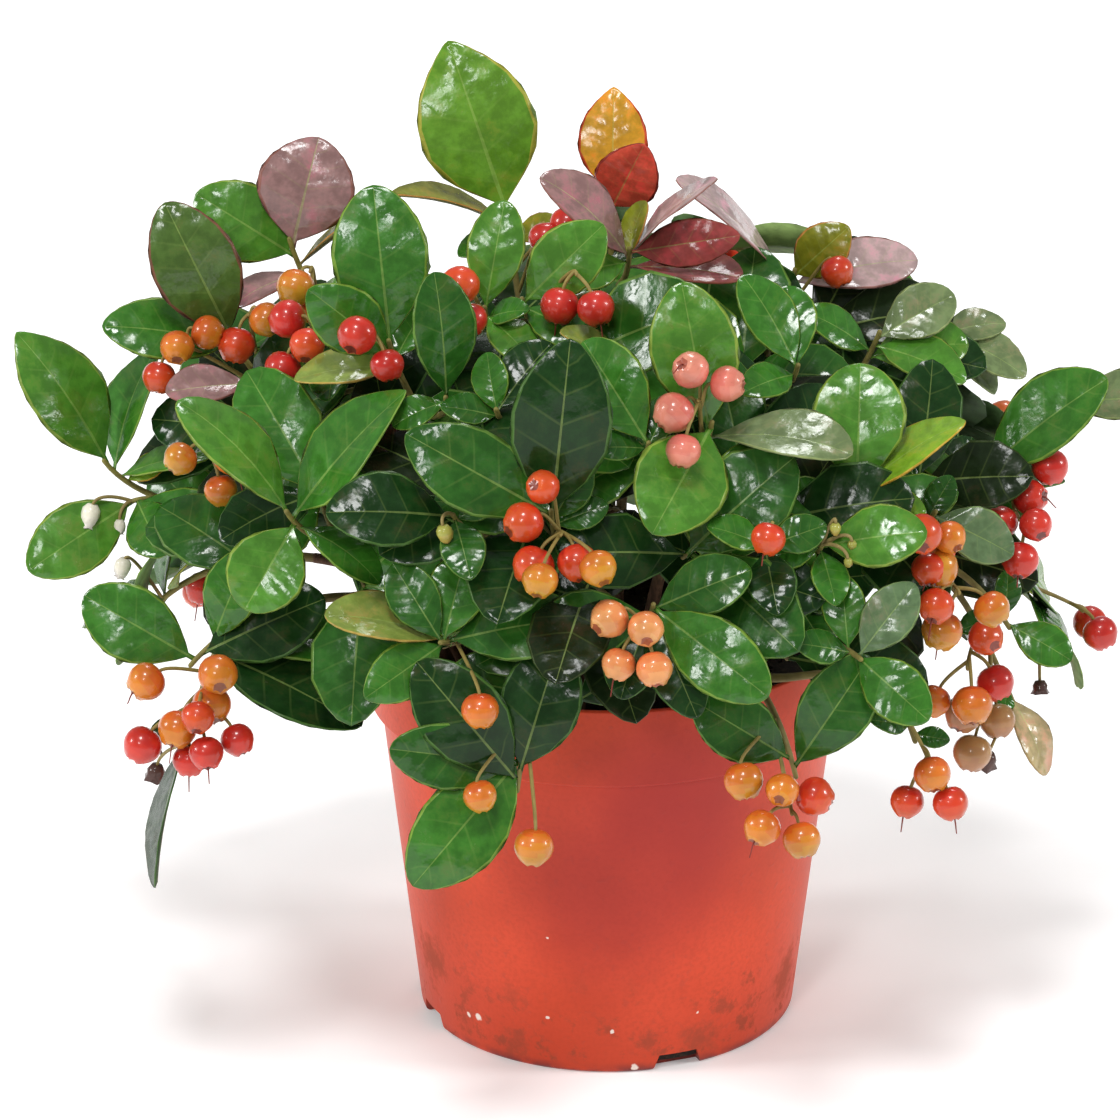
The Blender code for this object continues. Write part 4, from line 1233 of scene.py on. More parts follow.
@functools.cache
def limb_tree():
    """Round limbs along paths, with a little relief."""
    tree, maker, given = new_tree("limbs", {
        "Sides": ("Int", 8),
        "Relief": ("Float", 0.1 * MM),
        "Relief scale": ("Float", 600.0),
        "Bark": ("Material", None),
    })
    line = maker.made("GeometryNodeMeshToCurve", {}, {"Mesh": given["Geometry"]})
    sides = {"Resolution": given["Sides"], "Radius": 1.0}
    ring = maker.made("GeometryNodeCurvePrimitiveCircle", {}, sides)
    limb = maker.made("GeometryNodeCurveToMesh", {}, {
        "Curve": line, "Profile Curve": ring, "Scale": maker.field("thickness"), "Fill Caps": True,
    })
    place = maker.made("GeometryNodeInputPosition")
    normal = maker.made("GeometryNodeInputNormal")
    swell = (maker.noise(place, given["Relief scale"], 3.0) - 0.5) * given["Relief"]
    rough = maker.made("GeometryNodeSetPosition", {}, {"Geometry": limb, "Offset": normal * swell})
    smooth = maker.made("GeometryNodeSetShadeSmooth", {}, {"Geometry": rough})
    whole = maker.made("GeometryNodeRealizeInstances", {}, {"Geometry": smooth})
    maker.end(maker.made("GeometryNodeSetMaterial", {}, {"Geometry": whole, "Material": given["Bark"]}))
    return tree


PETIOLE_END = 0.055
LEAF_ROWS = (0.0, PETIOLE_END, 0.19, 0.35, 0.51, 0.66, 0.79, 0.89, 0.96, 1.0)
INNER_ROWS = (0.0, PETIOLE_END, 0.17, 0.38, 0.62, 0.82, 0.94, 1.0)
RIB_HALF = 0.014
TIP_HALF = 0.006
EDGE_SIDE = 0.93
ROW_SWEEP = 0.35
BLADE_LEAN = 1.14
BLADE_FULLNESS = (0.80, 0.55)
EDGE_STEPS = 3
TOOTH = 0.012
PETIOLE_HALF = 0.034
BODY_HALF = 0.12
QUILT = (-0.04, 0.16)
GROOVE = -0.22
EDGE_DROP = -0.3


def blade_half(share):
    """The outline's half width, for a leaf as wide as it is long: a stalk, a wedge and a blunt tip."""
    if share <= PETIOLE_END:
        return PETIOLE_HALF
    blade = (share - PETIOLE_END) / (1.0 - PETIOLE_END)
    if blade >= 1.0:
        return TIP_HALF
    fullness = BLADE_FULLNESS[0] + (BLADE_FULLNESS[1] - BLADE_FULLNESS[0]) * blade
    bulge = 0.5 * math.sin(math.pi * blade ** BLADE_LEAN) ** fullness
    return max(PETIOLE_HALF * (1.0 - blade) ** 0.4, bulge, TIP_HALF)


def body_at(share):
    """How far the blade is from a stalk there, from 0 to 1."""
    return min(1.0, blade_half(share) / BODY_HALF)


@functools.cache
def leaf_blade(rows, steps):
    """One leaf laid flat, its shape in layers: a few faces a row, the edge's cut finer than the rows."""
    shape = bmesh.new()
    kinds = {name: shape.verts.layers.float.new(name) for name in ("share", "side", "height")}
    zone = shape.faces.layers.int.new("zone")
    flat = shape.loops.layers.uv.new("blade")
    laid = {}

    def vert(middle, side, height):
        share = middle + ROW_SWEEP * abs(side) * middle * (1.0 - middle)
        half = blade_half(share) * side
        if side and abs(side) < 0.5:
            half = math.copysign(min(RIB_HALF * (1.3 - share), abs(half)), side)
        new = shape.verts.new((half, share, height * MM))
        for name, value in (("share", share), ("side", half), ("height", height * MM)):
            new[kinds[name]] = value
        laid[new] = (half / blade_half(share), middle)
        return new

    def face(kind, *corners):
        made = shape.faces.new(corners)
        made[zone] = kind
        for loop in made.loops:
            loop[flat].uv = laid[loop.vert]

    lines = []
    for row, middle in enumerate(rows):
        body = body_at(middle)
        quilt = QUILT[row % 2] * body
        left, right = (
            [vert(middle, way * EDGE_SIDE, quilt * 0.5), vert(middle, way * 0.4, GROOVE * body)]
            for way in (-1.0, 1.0)
        )
        lines.append({
            "left": left, "right": right[::-1],
            "ends": [vert(middle, way, EDGE_DROP * body) for way in (-1.0, 1.0)],
            "keel": vert(middle, 0.0, -0.4 - 0.5 * body),
        })
    for low, high, start, end in zip(lines, lines[1:], rows, rows[1:]):
        borders = []
        for number, way in enumerate((-1.0, 1.0)):
            border = [low["ends"][number]]
            for step in range(1, steps):
                middle = start + (end - start) * step / steps
                tooth = 1.0 + (TOOTH if step % 2 else -TOOTH)
                border.append(vert(middle, way * tooth, EDGE_DROP * body_at(middle)))
            borders.append(border + [high["ends"][number]])
        face(1, *borders[0][::-1], low["left"][0], high["left"][0])
        face(0, low["left"][0], low["left"][1], high["left"][1], high["left"][0])
        face(2, low["left"][1], low["right"][0], high["right"][0], high["left"][1])
        face(0, low["right"][0], low["right"][1], high["right"][1], high["right"][0])
        face(1, low["right"][1], *borders[1], high["right"][1])
        face(3, *borders[0], high["keel"], low["keel"])
        face(3, *borders[1][::-1], low["keel"], high["keel"])
    for line, turned in ((lines[0], False), (lines[-1], True)):
        ring = [line["ends"][0], *line["left"], *line["right"], line["ends"][1], line["keel"]]
        face(2, *(ring[::-1] if turned else ring))
    bmesh.ops.recalc_face_normals(shape, faces=shape.faces)
    return template("leaf_blade", shape)


@functools.cache
def leaf_bender():
    """Leaves on points: each blade is bent, folded, waved and twisted as its point says."""
    tree, maker, given = new_tree("leaves", {
        "Blade": ("Object", None),
        "Thickness": ("Float", 1.0),
        **{name.capitalize(): ("Material", None) for name in LEAF_ZONES},
    })
    blade = maker.made("GeometryNodeObjectInfo", {}, {"Object": given["Blade"]}, "Geometry")
    spread = maker.made(
        "GeometryNodeInstanceOnPoints", {}, {"Points": given["Geometry"], "Instance": blade}
    )
    whole = maker.made("GeometryNodeRealizeInstances", {}, {"Geometry": spread})
    root, along, face = (maker.field(n, "FLOAT_VECTOR") for n in ("root", "along", "face"))
    size = maker.field("size", "FLOAT_VECTOR").parts()
    shape = maker.field("shape", "FLOAT_VECTOR").parts()
    share, side, height = (maker.field(n) for n in ("share", "side", "height"))
    length, width, bend = size
    fold, wave, twist = shape
    broad = share.ramp(0.06, 0.20) * (1.0 - share.ramp(0.22, 0.66))
    narrow = 1.0 + maker.field("point") * (broad * 0.4 - share.ramp(0.42, 1.0, False) ** 3.5)
    across = face.cross(along)
    half = bend * 0.5
    turn = half - bend * share
    chord = half.call("SINE") * 2.0
    ahead = (half.call("SINE") - turn.call("SINE")) / chord
    rise = (turn.call("COSINE") - half.call("COSINE")) / chord
    spine = root + (along * ahead + face * rise) * length
    upward = face * turn.call("COSINE") - along * turn.call("SINE")
    swing = twist * (share - 0.2)
    level = across * swing.call("COSINE") + upward * swing.call("SINE")
    lifted = upward * swing.call("COSINE") - across * swing.call("SINE")
    aside = side * width * narrow
    out = side.call("ABSOLUTE") * 2.0
    ripple = (share * 8.0 + wave * 300.0).call("SINE") * out * out * wave * length
    lift = aside.call("ABSOLUTE") * fold + ripple + height * given["Thickness"]
    place = spine + level * aside + lifted * lift
    shaped = maker.made("GeometryNodeSetPosition", {}, {"Geometry": whole, "Position": place})
    smooth = maker.made("GeometryNodeSetShadeSmooth", {}, {"Geometry": shaped})
    maker.end(maker.dressed(smooth, [given[name.capitalize()] for name in LEAF_ZONES]))
    return tree


BERRY_SIDES = 15
BERRY_LEVELS = 11
STAR_POINTS = 5
STAR_LEVELS = 2
BERRY_ZONES = ("Shoulder", "High", "Middle", "Low", "End", "Star")


def berry_ring(level, turn):
    """A point of the unit berry: a dimple by the stalk and a raised star at the free end."""
    angle = math.pi * level / BERRY_LEVELS
    spread = math.sin(angle) * (1.0 + 0.015 * math.cos(STAR_POINTS * turn))
    rise = -0.94 * math.cos(angle)
    if level < 3:
        rise += 0.10 * (1.0 - level / 3.0) ** 2
    end = level - (BERRY_LEVELS - STAR_LEVELS)
    if end >= 0:
        star = 0.5 + 0.5 * math.cos(STAR_POINTS * turn)
        rise += (0.02 + 0.05 * star, 0.10 * star - 0.02, -0.14)[end]
        spread *= 1.0 + (0.10, 0.25, 0.0)[end] * star
    return Vector((spread * math.cos(turn), spread * math.sin(turn), rise))


def zone_at(share):
    """The colour zone at a share of the way from the stalk to the free end."""
    last = len(BERRY_ZONES) - 2
    return max(0, min(last, round(last * (share * 1.25 - 0.15))))


@functools.cache
def berry_shape():
    """One berry of radius 1 whose stalk comes from below and whose star is at the top."""
    shape = bmesh.new()
    zone = shape.faces.layers.int.new("zone")
    turns = [math.tau * k / BERRY_SIDES for k in range(BERRY_SIDES)]
    rings = [[shape.verts.new(berry_ring(level, turn)) for turn in turns] for level in range(1, BERRY_LEVELS)]
    poles = shape.verts.new(berry_ring(0, 0.0)), shape.verts.new(berry_ring(BERRY_LEVELS, 0.0))
    for k in range(BERRY_SIDES):
        after = (k + 1) % BERRY_SIDES
        shape.faces.new((poles[0], rings[0][after], rings[0][k]))[zone] = 0
        for level, (low, high) in enumerate(zip(rings, rings[1:]), 1):
            edge = level + 0.7 * math.cos(turns[k]) + 0.3 * math.cos(3.0 * turns[k])
            shape.faces.new((low[k], low[after], high[after], high[k]))[zone] = zone_at(edge / BERRY_LEVELS)
        shape.faces.new((rings[-1][k], rings[-1][after], poles[1]))[zone] = len(BERRY_ZONES) - 1
    return template("berry_shape", shape)


@functools.cache
def trim_shape(kind):
    """A flower, bud or husk of radius 1, its stalk below and its five lobes at the top."""
    shape = bmesh.new()
    zone = shape.faces.layers.int.new("zone")
    turns = [math.tau * k / TRIM_SIDES for k in range(TRIM_SIDES)]
    rings = []
    for level, (spread, rise) in enumerate(TRIM_PROFILES[kind]):
        lobed = 0.16 * max(0.0, rise)
        wide = [spread * (1.0 + lobed * math.cos(STAR_POINTS * turn)) for turn in turns]
        rings.append([
            shape.verts.new((w * math.cos(turn), w * math.sin(turn), rise + 0.3 * lobed * (w > spread)))
            for w, turn in zip(wide, turns)
        ])
    last = len(rings) - 1
    for level, (low, high) in enumerate(zip(rings, rings[1:])):
        for k in range(TRIM_SIDES):
            after = (k + 1) % TRIM_SIDES
            shape.faces.new((low[k], low[after], high[after], high[k]))[zone] = zone_at(level / last)
    shape.faces.new(rings[0][::-1])[zone] = 0
    shape.faces.new(rings[-1])[zone] = len(BERRY_ZONES) - 1
    return template(kind, shape)


@functools.cache
def berry_tree():
    """Berries on points, each turned and sized as its point says."""
    tree, maker, given = new_tree("berries", {
        "Berry": ("Object", None),
        **{name: ("Material", None) for name in BERRY_ZONES},
    })
    berry = maker.made("GeometryNodeObjectInfo", {}, {"Object": given["Berry"]}, "Geometry")
    turn = maker.made(
        "FunctionNodeEulerToRotation", {}, {"Euler": maker.field("turn", "FLOAT_VECTOR")}
    )
    spread = maker.made("GeometryNodeInstanceOnPoints", {}, {
        "Points": given["Geometry"], "Instance": berry, "Rotation": turn, "Scale": maker.field("size"),
    })
    whole = maker.made("GeometryNodeRealizeInstances", {}, {"Geometry": spread})
    done = maker.made("GeometryNodeSetShadeSmooth", {}, {"Geometry": whole})
    maker.end(maker.dressed(done, [given[name] for name in BERRY_ZONES]))
    return tree


def tint_of(name, spray, order):
    """The tint of a leaf, by its spray and its place in it."""
    if (name, spray) in LOOKS:
        return LOOKS[name, spray][0].split()[order]
    return seeded(name, spray, order, "tint").choice(COMMON_TINTS)


def tint_colours(tint):
    """A tint's colours for the upper side, edge, midrib and underside."""
    upper, edge, under = TINTS[tint]
    rib = tuple(a + (b - a) * RIB_SHARE for a, b in zip(upper, RIB_PALE))
    return upper, edge, rib, under


def fruit_of(name, spray):
    if (name, spray) in LOOKS:
        return LOOKS[name, spray][1]
    return seeded(name, spray, "fruit tint").choice(COMMON_FRUITS)


def colour_choice(name, description, default):
    return FloatVectorProperty(
        name=name, description=description, subtype="COLOR", size=3, default=default, min=0.0, max=1.0
    )


class PotSettings(bpy.types.PropertyGroup):
    """Sizes and colours of the pot and its compost"""

    colour: colour_choice("Pot", "Colour of the pot's plastic", (0.65, 0.068, 0.025))
    steps: IntProperty(name="Steps", description="Flats round the pot", default=160, min=24)
    crumb: FloatProperty(
        name="Crumb", description="Radius of the compost's largest crumbs", default=1.9 * MM, unit="LENGTH"
    )


class PlantSettings(bpy.types.PropertyGroup):
    """Finish of the stems, leaves and berries"""

    bark: colour_choice("Bark", "Colour of the older stems", (0.12, 0.062, 0.036))
    shoot: colour_choice("Shoot", "Colour of the young stems", (0.26, 0.235, 0.055))
    relief: FloatProperty(
        name="Bark relief", description="Height of the bark's relief", default=0.35 * MM, unit="LENGTH"
    )
    leaf_relief: FloatProperty(
        name="Leaf relief", description="Depth of the veins against a real leaf's", default=1.0, min=0.0
    )
    berry_gloss: FloatProperty(
        name="Berry roughness", description="Roughness of the berries' skin", subtype="FACTOR", default=0.30
    )


class StageSettings(bpy.types.PropertyGroup):
    """Light and floor"""

    light: FloatProperty(
        name="Room light", description="Strength of the light from all round", default=0.30, min=0.0
    )
    key: FloatProperty(name="Key light", description="Strength of the main lamp", default=1.75, min=0.0)
    floor: colour_choice("Floor", "Colour of the floor", (0.95, 0.95, 0.95))


class WINTERGREEN_OT_pot(bpy.types.Operator):
    """Turns the pot, cuts its notches and gives it worn, speckled plastic"""

    bl_idname = "wintergreen.pot"
    bl_label = "Pot"

    def execute(self, context):
        settings = context.scene.wintergreen_pot
        cutters = bpy.data.collections.new("notches")
        context.scene.collection.children.link(cutters)
        for index in range(NOTCHES):
            notch_cutter(index, cutters)
        shell = turned_mesh("pot_shell", rounded(pot_profile(), CORNER_ROUND), settings.steps)
        cut = shell.modifiers.new("notches", "BOOLEAN")
        cut.operand_type = "COLLECTION"
        cut.collection = cutters
        depsgraph = context.evaluated_depsgraph_get()
        mesh = bpy.data.meshes.new_from_object(shell.evaluated_get(depsgraph))
        shell.modifiers.clear()
        shell.data = mesh
        for ob in list(cutters.objects):
            bpy.data.objects.remove(ob)
        bpy.data.collections.remove(cutters)
        mesh.materials.clear()
        mesh.materials.append(pot_plastic(settings.colour))
        mesh.polygons.foreach_set("use_smooth", [True] * len(mesh.polygons))
        mesh.polygons.foreach_set("material_index", [0] * len(mesh.polygons))
        mesh.set_sharp_from_angle(angle=SHARP_ANGLE)
        joins(shell, "pot", "pot")
        return {"FINISHED"}


def rounded(profile, radius):
    """The profile with each inner corner turned into a small arc."""
    points = [Vector(point) for point in profile]
    result = [points[0]]
    for before, corner, after in zip(points, points[1:], points[2:]):
        back, on = before - corner, after - corner
        cut = min(radius, 0.42 * back.length, 0.42 * on.length)
        start, end = corner + back.normalized() * cut, corner + on.normalized() * cut
        for i in range(4):
            t = i / 3.0
            result.append(start * (1 - t) ** 2 + corner * 2 * t * (1 - t) + end * t * t)
    return [tuple(point) for point in result + [points[-1]]]


def turned_mesh(name, profile, steps):
    """A profile of radius and height turned once round the upright axis."""
    mesh = bpy.data.meshes.new(name)
    last = len(profile) - 1
    mesh.from_pydata([(r, 0.0, z) for r, z in profile], [(i, i + 1) for i in range(last)], [])
    ob = bpy.data.objects.new(name, mesh)
    bpy.context.scene.collection.objects.link(ob)
    turn = ob.modifiers.new("Turn", "SCREW")
    turn.steps = turn.render_steps = steps
    turn.use_merge_vertices = True
    turn.merge_threshold = 0.00001
    return ob


# Marks on the pot's side, each at a turn from the front in degrees, a height and a radius in millimetres.
DIRT = ((-64, 20, 8), (36, 17, 4), (44, 20, 3), (12, 9, 5), (-30, 5, 6), (28, 6, 7), (66, 13, 9), (-48, 8, 5))
# Painted shade: two darker patches on the pot's front, under the crown, stand in for the crown's shadow.
PAINTED_SHADES = ((6, 58, 46), (22, 82, 34))
PALE = (
    (-46, 9.5, 0.8), (-42, 10, 1.2), (-18, 15, 0.5), (1, 12, 0.6), (27, 15, 0.5), (-17, 38, 0.5),
    (8, 1.5, 1.1),
)
SPECK_COLOUR = (0.34, 0.07, 0.05)
# The colour of the painted shade on the pot's front.
PAINTED_SHADE_COLOUR = (0.36, 0.030, 0.027)
DIRT_COLOUR = (0.17, 0.055, 0.030)
FOOT_COLOUR = (0.12, 0.032, 0.034)
PALE_COLOUR = (0.82, 0.70, 0.62)


def mark_at(place, mark, ragged, full):
    """1 within that share of the mark's radius, fading to 0 at its edge."""
    turn, height, radius = mark
    around = math.radians(turn - 90.0)
    out = body_radius(height * MM)
    spot = Vector((math.cos(around) * out, math.sin(around) * out, height * MM))
    away = (place - spot).length() + ragged
    return 1.0 - away.ramp(full * radius * MM, radius * MM)


def pot_plastic(colour):
    """Satin plastic, speckled, with painted shade under the crown, soiled towards the foot and nicked with
    pale specks.
    """
    mat = finish("pot_plastic", colour, 0.42, 0.0, 0.18)
    maker, place = place_in(mat)
    height = place.parts()[2]
    cloud = maker.noise(place, 28.0, 4.0)
    grain = maker.noise(place, 900.0, 3.0)
    speck = maker.noise(place, 420.0, 2.0).ramp(0.60, 0.74)
    pale = [min(1.0, c * 1.10 + 0.006) for c in colour]
    body = maker.mix(cloud.ramp(0.32, 0.7), toned(colour, 0.90), pale)
    body = maker.mix(grain.ramp(0.35, 0.75) * 0.35, body, toned(colour, 0.72))
    body = maker.mix(speck * 0.22, body, SPECK_COLOUR)
    # Painted shade: the crown's shadow on the pot's front, painted into its colour.
    for mark in PAINTED_SHADES:
        body = maker.mix(mark_at(place, mark, (cloud - 0.5) * 20.0 * MM, 0.2) * 0.7, body, PAINTED_SHADE_COLOUR)
    blotch = maker.noise(place, 130.0, 5.0, 0.7)
    low = 1.0 - height.ramp(3.0 * MM, 34.0 * MM)
    body = maker.mix(low * 0.4, body, toned(colour, 0.66))
    soil = blotch.ramp(0.54, 0.66) * low * 0.7
    foot = (1.0 - height.ramp(0.4 * MM, 3.5 * MM)) * maker.noise(place, 160.0, 3.0).ramp(0.3, 0.6) * 0.75
    ragged = (blotch - 0.5) * 26.0 * MM
    for mark in DIRT:
        soil = soil.call("MAXIMUM", mark_at(place, mark, ragged, 0.1) * 0.6)
    body = maker.mix(soil * 0.8, body, DIRT_COLOUR)
    body = maker.mix(foot, body, FOOT_COLOUR)
    nicks = [mark_at(place, mark, (grain - 0.5) * 1.2 * MM, 0.6) for mark in PALE]
    body = maker.mix(functools.reduce(lambda a, b: a.call("MAXIMUM", b), nicks), body, PALE_COLOUR)
    rough = 0.34 + cloud * 0.14 + soil * 0.35
    relief = grain * 0.6 + speck * 0.5 + blotch * 0.4
    return patterned(mat, body, rough, relief, 0.12 * MM, 0.45)


class WINTERGREEN_OT_compost(bpy.types.Operator):
    """Fills the pot with compost, crumbs on its top"""

    bl_idname = "wintergreen.compost"
    bl_label = "Compost"

    def execute(self, context):
        crumb = context.scene.wintergreen_pot.crumb
        bed = compost_bed()
        piece = run_tree("compost", bed, crumb_tree(), {
            "Crumb size": crumb, "Density": CRUMB_DENSITY, "Seed": CRUMB_SEED, "Compost": compost_finish(),
        })
        joins(piece, "soil", "soil")
        return {"FINISHED"}


def compost_bed():
    """The fill of the pot, its top uneven by a millimetre or two."""
    step_top = POT_HEIGHT - BAND_HEIGHT
    inner = RIM_RADIUS - BAND_TAPER - WALL - GAP
    foot = FLOOR + GAP
    profile = [(inner * share, SOIL_TOP) for share in BED_RINGS]
    profile += [
        (inner - 0.4 * SOIL_EDGE, SOIL_TOP - 0.3 * SOIL_EDGE), (inner, SOIL_TOP - SOIL_EDGE),
        (inner, step_top + WALL + 2.0 * GAP), (body_radius(step_top) - WALL - GAP, step_top),
        (body_radius(foot) - WALL - GAP, foot), (0.0, foot),
    ]
    ob = turned_mesh("compost_bed", profile, BED_STEPS)
    mesh = bpy.data.meshes.new_from_object(ob.evaluated_get(bpy.context.evaluated_depsgraph_get()))
    bpy.data.objects.remove(ob)
    chance = seeded("compost")
    for vert in mesh.vertices:
        if vert.co.z > SOIL_TOP - 0.1 * MM:
            vert.co.z -= chance.uniform(0.0, BED_DIPS) * MM
    return mesh


@functools.cache
def crumb_tree():
    """Crumbs strewn over the faces that look up."""
    tree, maker, given = new_tree("crumbs", {
        "Crumb size": ("Float", MM),
        "Density": ("Float", CRUMB_DENSITY),
        "Seed": ("Int", CRUMB_SEED),
        "Compost": ("Material", None),
    })
    up = maker.made("GeometryNodeInputNormal").parts()[2]
    strewn = maker.node("GeometryNodeDistributePointsOnFaces", {}, {
        "Mesh": given["Geometry"], "Selection": up.call("GREATER_THAN", 0.5),
        "Density": given["Density"], "Seed": given["Seed"],
    })
    ball = maker.made(
        "GeometryNodeMeshIcoSphere", {}, {"Radius": given["Crumb size"], "Subdivisions": 1}
    )
    lumpy = maker.noise(maker.made("GeometryNodeInputPosition"), 500.0, 2.0)
    crumb = maker.made("GeometryNodeSetPosition", {}, {
        "Geometry": ball,
        "Offset": maker.made("GeometryNodeInputPosition") * ((lumpy - 0.5) * 1.6),
    })
    size, spin = (
        maker.made(
            "FunctionNodeRandomValue", {"data_type": "FLOAT_VECTOR"},
            {0: least, 1: most, "Seed": given["Seed"]},
        )
        for least, most in (((0.2, 0.2, 0.15), (1.0, 1.0, 0.7)), ((0.0, 0.0, 0.0), (6.28, 6.28, 6.28)))
    )
    spread = maker.made("GeometryNodeInstanceOnPoints", {}, {
        "Points": Node(maker, strewn.outputs["Points"]), "Instance": crumb,
        "Rotation": maker.made("FunctionNodeEulerToRotation", {}, {"Euler": spin}), "Scale": size,
    })
    joined = maker.node("GeometryNodeJoinGeometry")
    maker.tree.links.new(spread.socket, joined.inputs[0])
    maker.tree.links.new(given["Geometry"].socket, joined.inputs[0])
    whole = maker.made("GeometryNodeRealizeInstances", {}, {"Geometry": Node(maker, joined.outputs[0])})
    maker.end(maker.made("GeometryNodeSetMaterial", {}, {"Geometry": whole, "Material": given["Compost"]}))
    return tree


def compost_finish():
    """Damp dark peat with paler fibres."""
    mat = finish("compost", (0.026, 0.016, 0.010), 0.9)
    maker, place = place_in(mat)
    fibre = maker.noise(place, 650.0, 4.0, 0.7)
    damp = maker.noise(place, 60.0, 2.0)
    body = maker.mix(fibre.ramp(0.45, 0.8), (0.016, 0.010, 0.007), (0.10, 0.060, 0.032))
    body = maker.mix(damp.ramp(0.3, 0.7) * 0.5, body, (0.012, 0.008, 0.006))
    return patterned(mat, body, 0.72 + damp * 0.25, fibre, 0.5 * MM, 0.8)


def bark_finish(colour, shoot):
    """Brown bark with ridges, greener where the stem is young and high."""
    mat = finish("bark", colour, 0.7)
    maker, place = place_in(mat)
    ridge = maker.noise(place * Vector((1.0, 1.0, 0.25)), 900.0, 4.0, 0.6)
    height = place.parts()[2] + (maker.noise(place, 90.0, 2.0) - 0.5) * 30.0 * MM
    young = height.ramp(120.0 * MM, 175.0 * MM)
    body = maker.mix(ridge.ramp(0.3, 0.75), toned(colour, 0.55), toned(colour, 1.5))
    body = maker.mix(young * 0.8, body, shoot)
    return patterned(mat, body, 0.75 - young * 0.25, ridge, 0.2 * MM, 0.7)


def stalk_skin(title, colour, young):
    """A thin stem's skin: streaked, and in its young colour out at the crown's edge."""
    mat = finish(title, colour, 0.5)
    maker, place = place_in(mat)
    streak = maker.noise(place, 420.0, 3.0)
    out = (place - Vector((0.0, 0.0, SOIL_TOP))).length()
    body = maker.mix(out.ramp(70.0 * MM, 125.0 * MM), colour, young)
    body = maker.mix(streak.ramp(0.3, 0.7) * 0.5, body, toned(colour, 0.6))
    return patterned(mat, body, 0.45 + streak * 0.2, streak, 0.1 * MM, 0.4)


# Sorts of limb: the steps along one, and its radii at its start and its end.
BOUGH = 22, BOUGH_RADII
STEM = 18, (STEM_RADII[0], 0.62 * MM)
TWIG = 7, (0.8 * MM, 0.55 * MM)
CLUSTER_STALK = 12, (0.6 * MM, 0.45 * MM)
BERRY_STALK = 9, (0.5 * MM, 0.42 * MM)
DRY_STYLE = 5, (0.22 * MM, 0.14 * MM)
FLOWER_STALK = 10, (0.5 * MM, 0.4 * MM)
STYLE_CHANCE = 0.3
STEM_RELIEF = 0.4
STALK_COLOURS = {
    "stems": (0.17, 0.13, 0.045),
    "side_twigs": (0.14, 0.11, 0.04),
    "fruit_stalks": (0.26, 0.20, 0.055),
    "dry_styles": (0.20, 0.03, 0.02),
    "flower_stalks": (0.26, 0.20, 0.07),
}


def limb_on(curve, sort, start=0.0, end=1.0):
    """A limb of that sort along the curve: its points and its radii."""
    steps, radii = sort
    return run_of(curve, steps, start, end), radii


def grow_piece(label, lines, skin, sides=6, relief=0.0, scale=700.0, slot="foliage", nodes=()):
    """One piece of limbs along their lines, with relief of that height and scale."""
    piece = run_tree(label, lines_mesh(label, lines), limb_tree(), {
        "Sides": sides, "Relief": relief, "Relief scale": scale, "Bark": skin,
    })
    joins(piece, slot, *nodes)


class WINTERGREEN_OT_branches(bpy.types.Operator):
    """Grows boughs with bark relief, and the stems and side twigs that carry on from them"""

    bl_idname = "wintergreen.branches"
    bl_label = "Branches"

    def execute(self, context):
        settings = context.scene.wintergreen_plant
        masses, inner = crown()
        boughs, stems, twigs = [], [], []
        for name, mass in masses.items():
            main, *others = mass.stems
            boughs.append(limb_on(main, BOUGH, 0.0, BOUGH_SHARE))
            stems.append(limb_on(main, STEM, BOUGH_SHARE))
            stems += [limb_on(stem, STEM) for stem in others]
            twigs += [limb_on(twig, TWIG) for twig in inner[name][0]]
        bark = bark_finish(settings.bark, settings.shoot)
        nodes = ["bough_" + name for name in masses]
        grow_piece("boughs", boughs, bark, 14, settings.relief, 480.0, "stems", nodes)
        for label, lines, sides in (("stems", stems, 9), ("side_twigs", twigs, 6)):
            skin = stalk_skin(label, STALK_COLOURS[label], settings.shoot)
            grow_piece(label, lines, skin, sides, settings.relief * STEM_RELIEF)
        return {"FINISHED"}


def leaf_skin(title, colour, zone):
    """A leaf's skin: mottled, veined above, puckered between the veins. The darkest shine least."""
    shine = LEAF_SHINE[zone] * min(1.0, 0.35 + 5.0 * colour[1])
    mat = finish(title, colour, LEAF_ROUGHNESS[zone], 0.0, shine)
    maker, place = place_in(mat)
    side, share, _ = maker.made("ShaderNodeUVMap", {"uv_map": "blade"}).parts()
    out = side.call("ABSOLUTE")
    mottle = maker.noise(place, 240.0, 3.0, 0.6)
    wave = ((share - out * 0.10) * math.tau * VEIN_PAIRS).call("COSINE")
    vein = wave.ramp(0.93, 1.0) * (1.0 - out * out)
    body = maker.mix(mottle.ramp(0.34, 0.66), toned(colour, 0.80), toned(colour, 1.18))
    if zone == "upper":
        bronze = maker.noise(place, 120.0, 5.0, 0.75).ramp(0.50, 0.70) * BRONZE_SHARE
        body = maker.mix(bronze, body, (min(1.0, colour[0] * 1.6 + 0.02), colour[1] * 0.82, colour[2] * 1.2))
        body = maker.mix(vein * 0.08, body, RIB_PALE)
    rough = LEAF_ROUGHNESS[zone] + mottle.ramp(0.3, 0.8) * 0.16
    pucker = maker.noise(place, 175.0, 3.0) - wave * 0.11
    return patterned(mat, body, rough, pucker, 0.5 * MM, 0.75)


def leaf_layers(leaves, points):
    """What the leaf tree needs of each leaf."""
    sizes, shapes = [], []
    for leaf in leaves:
        chance = seeded(*(round(c * 1e5) for c in leaf.base), round(leaf.length * 1e6), "shape")
        sizes.append((leaf.length, leaf.width, leaf.bend))
        shapes.append((leaf.fold, chance.uniform(*LEAF_WAVES), chance.uniform(*LEAF_TWISTS)))
    return {
        "root": ("FLOAT_VECTOR", [leaf.base for leaf in leaves]),
        "along": ("FLOAT_VECTOR", [leaf.along for leaf in leaves]),
        "face": ("FLOAT_VECTOR", [leaf.face for leaf in leaves]),
        "size": ("FLOAT_VECTOR", sizes),
        "shape": ("FLOAT_VECTOR", shapes),
        "point": ("FLOAT", points),
    }


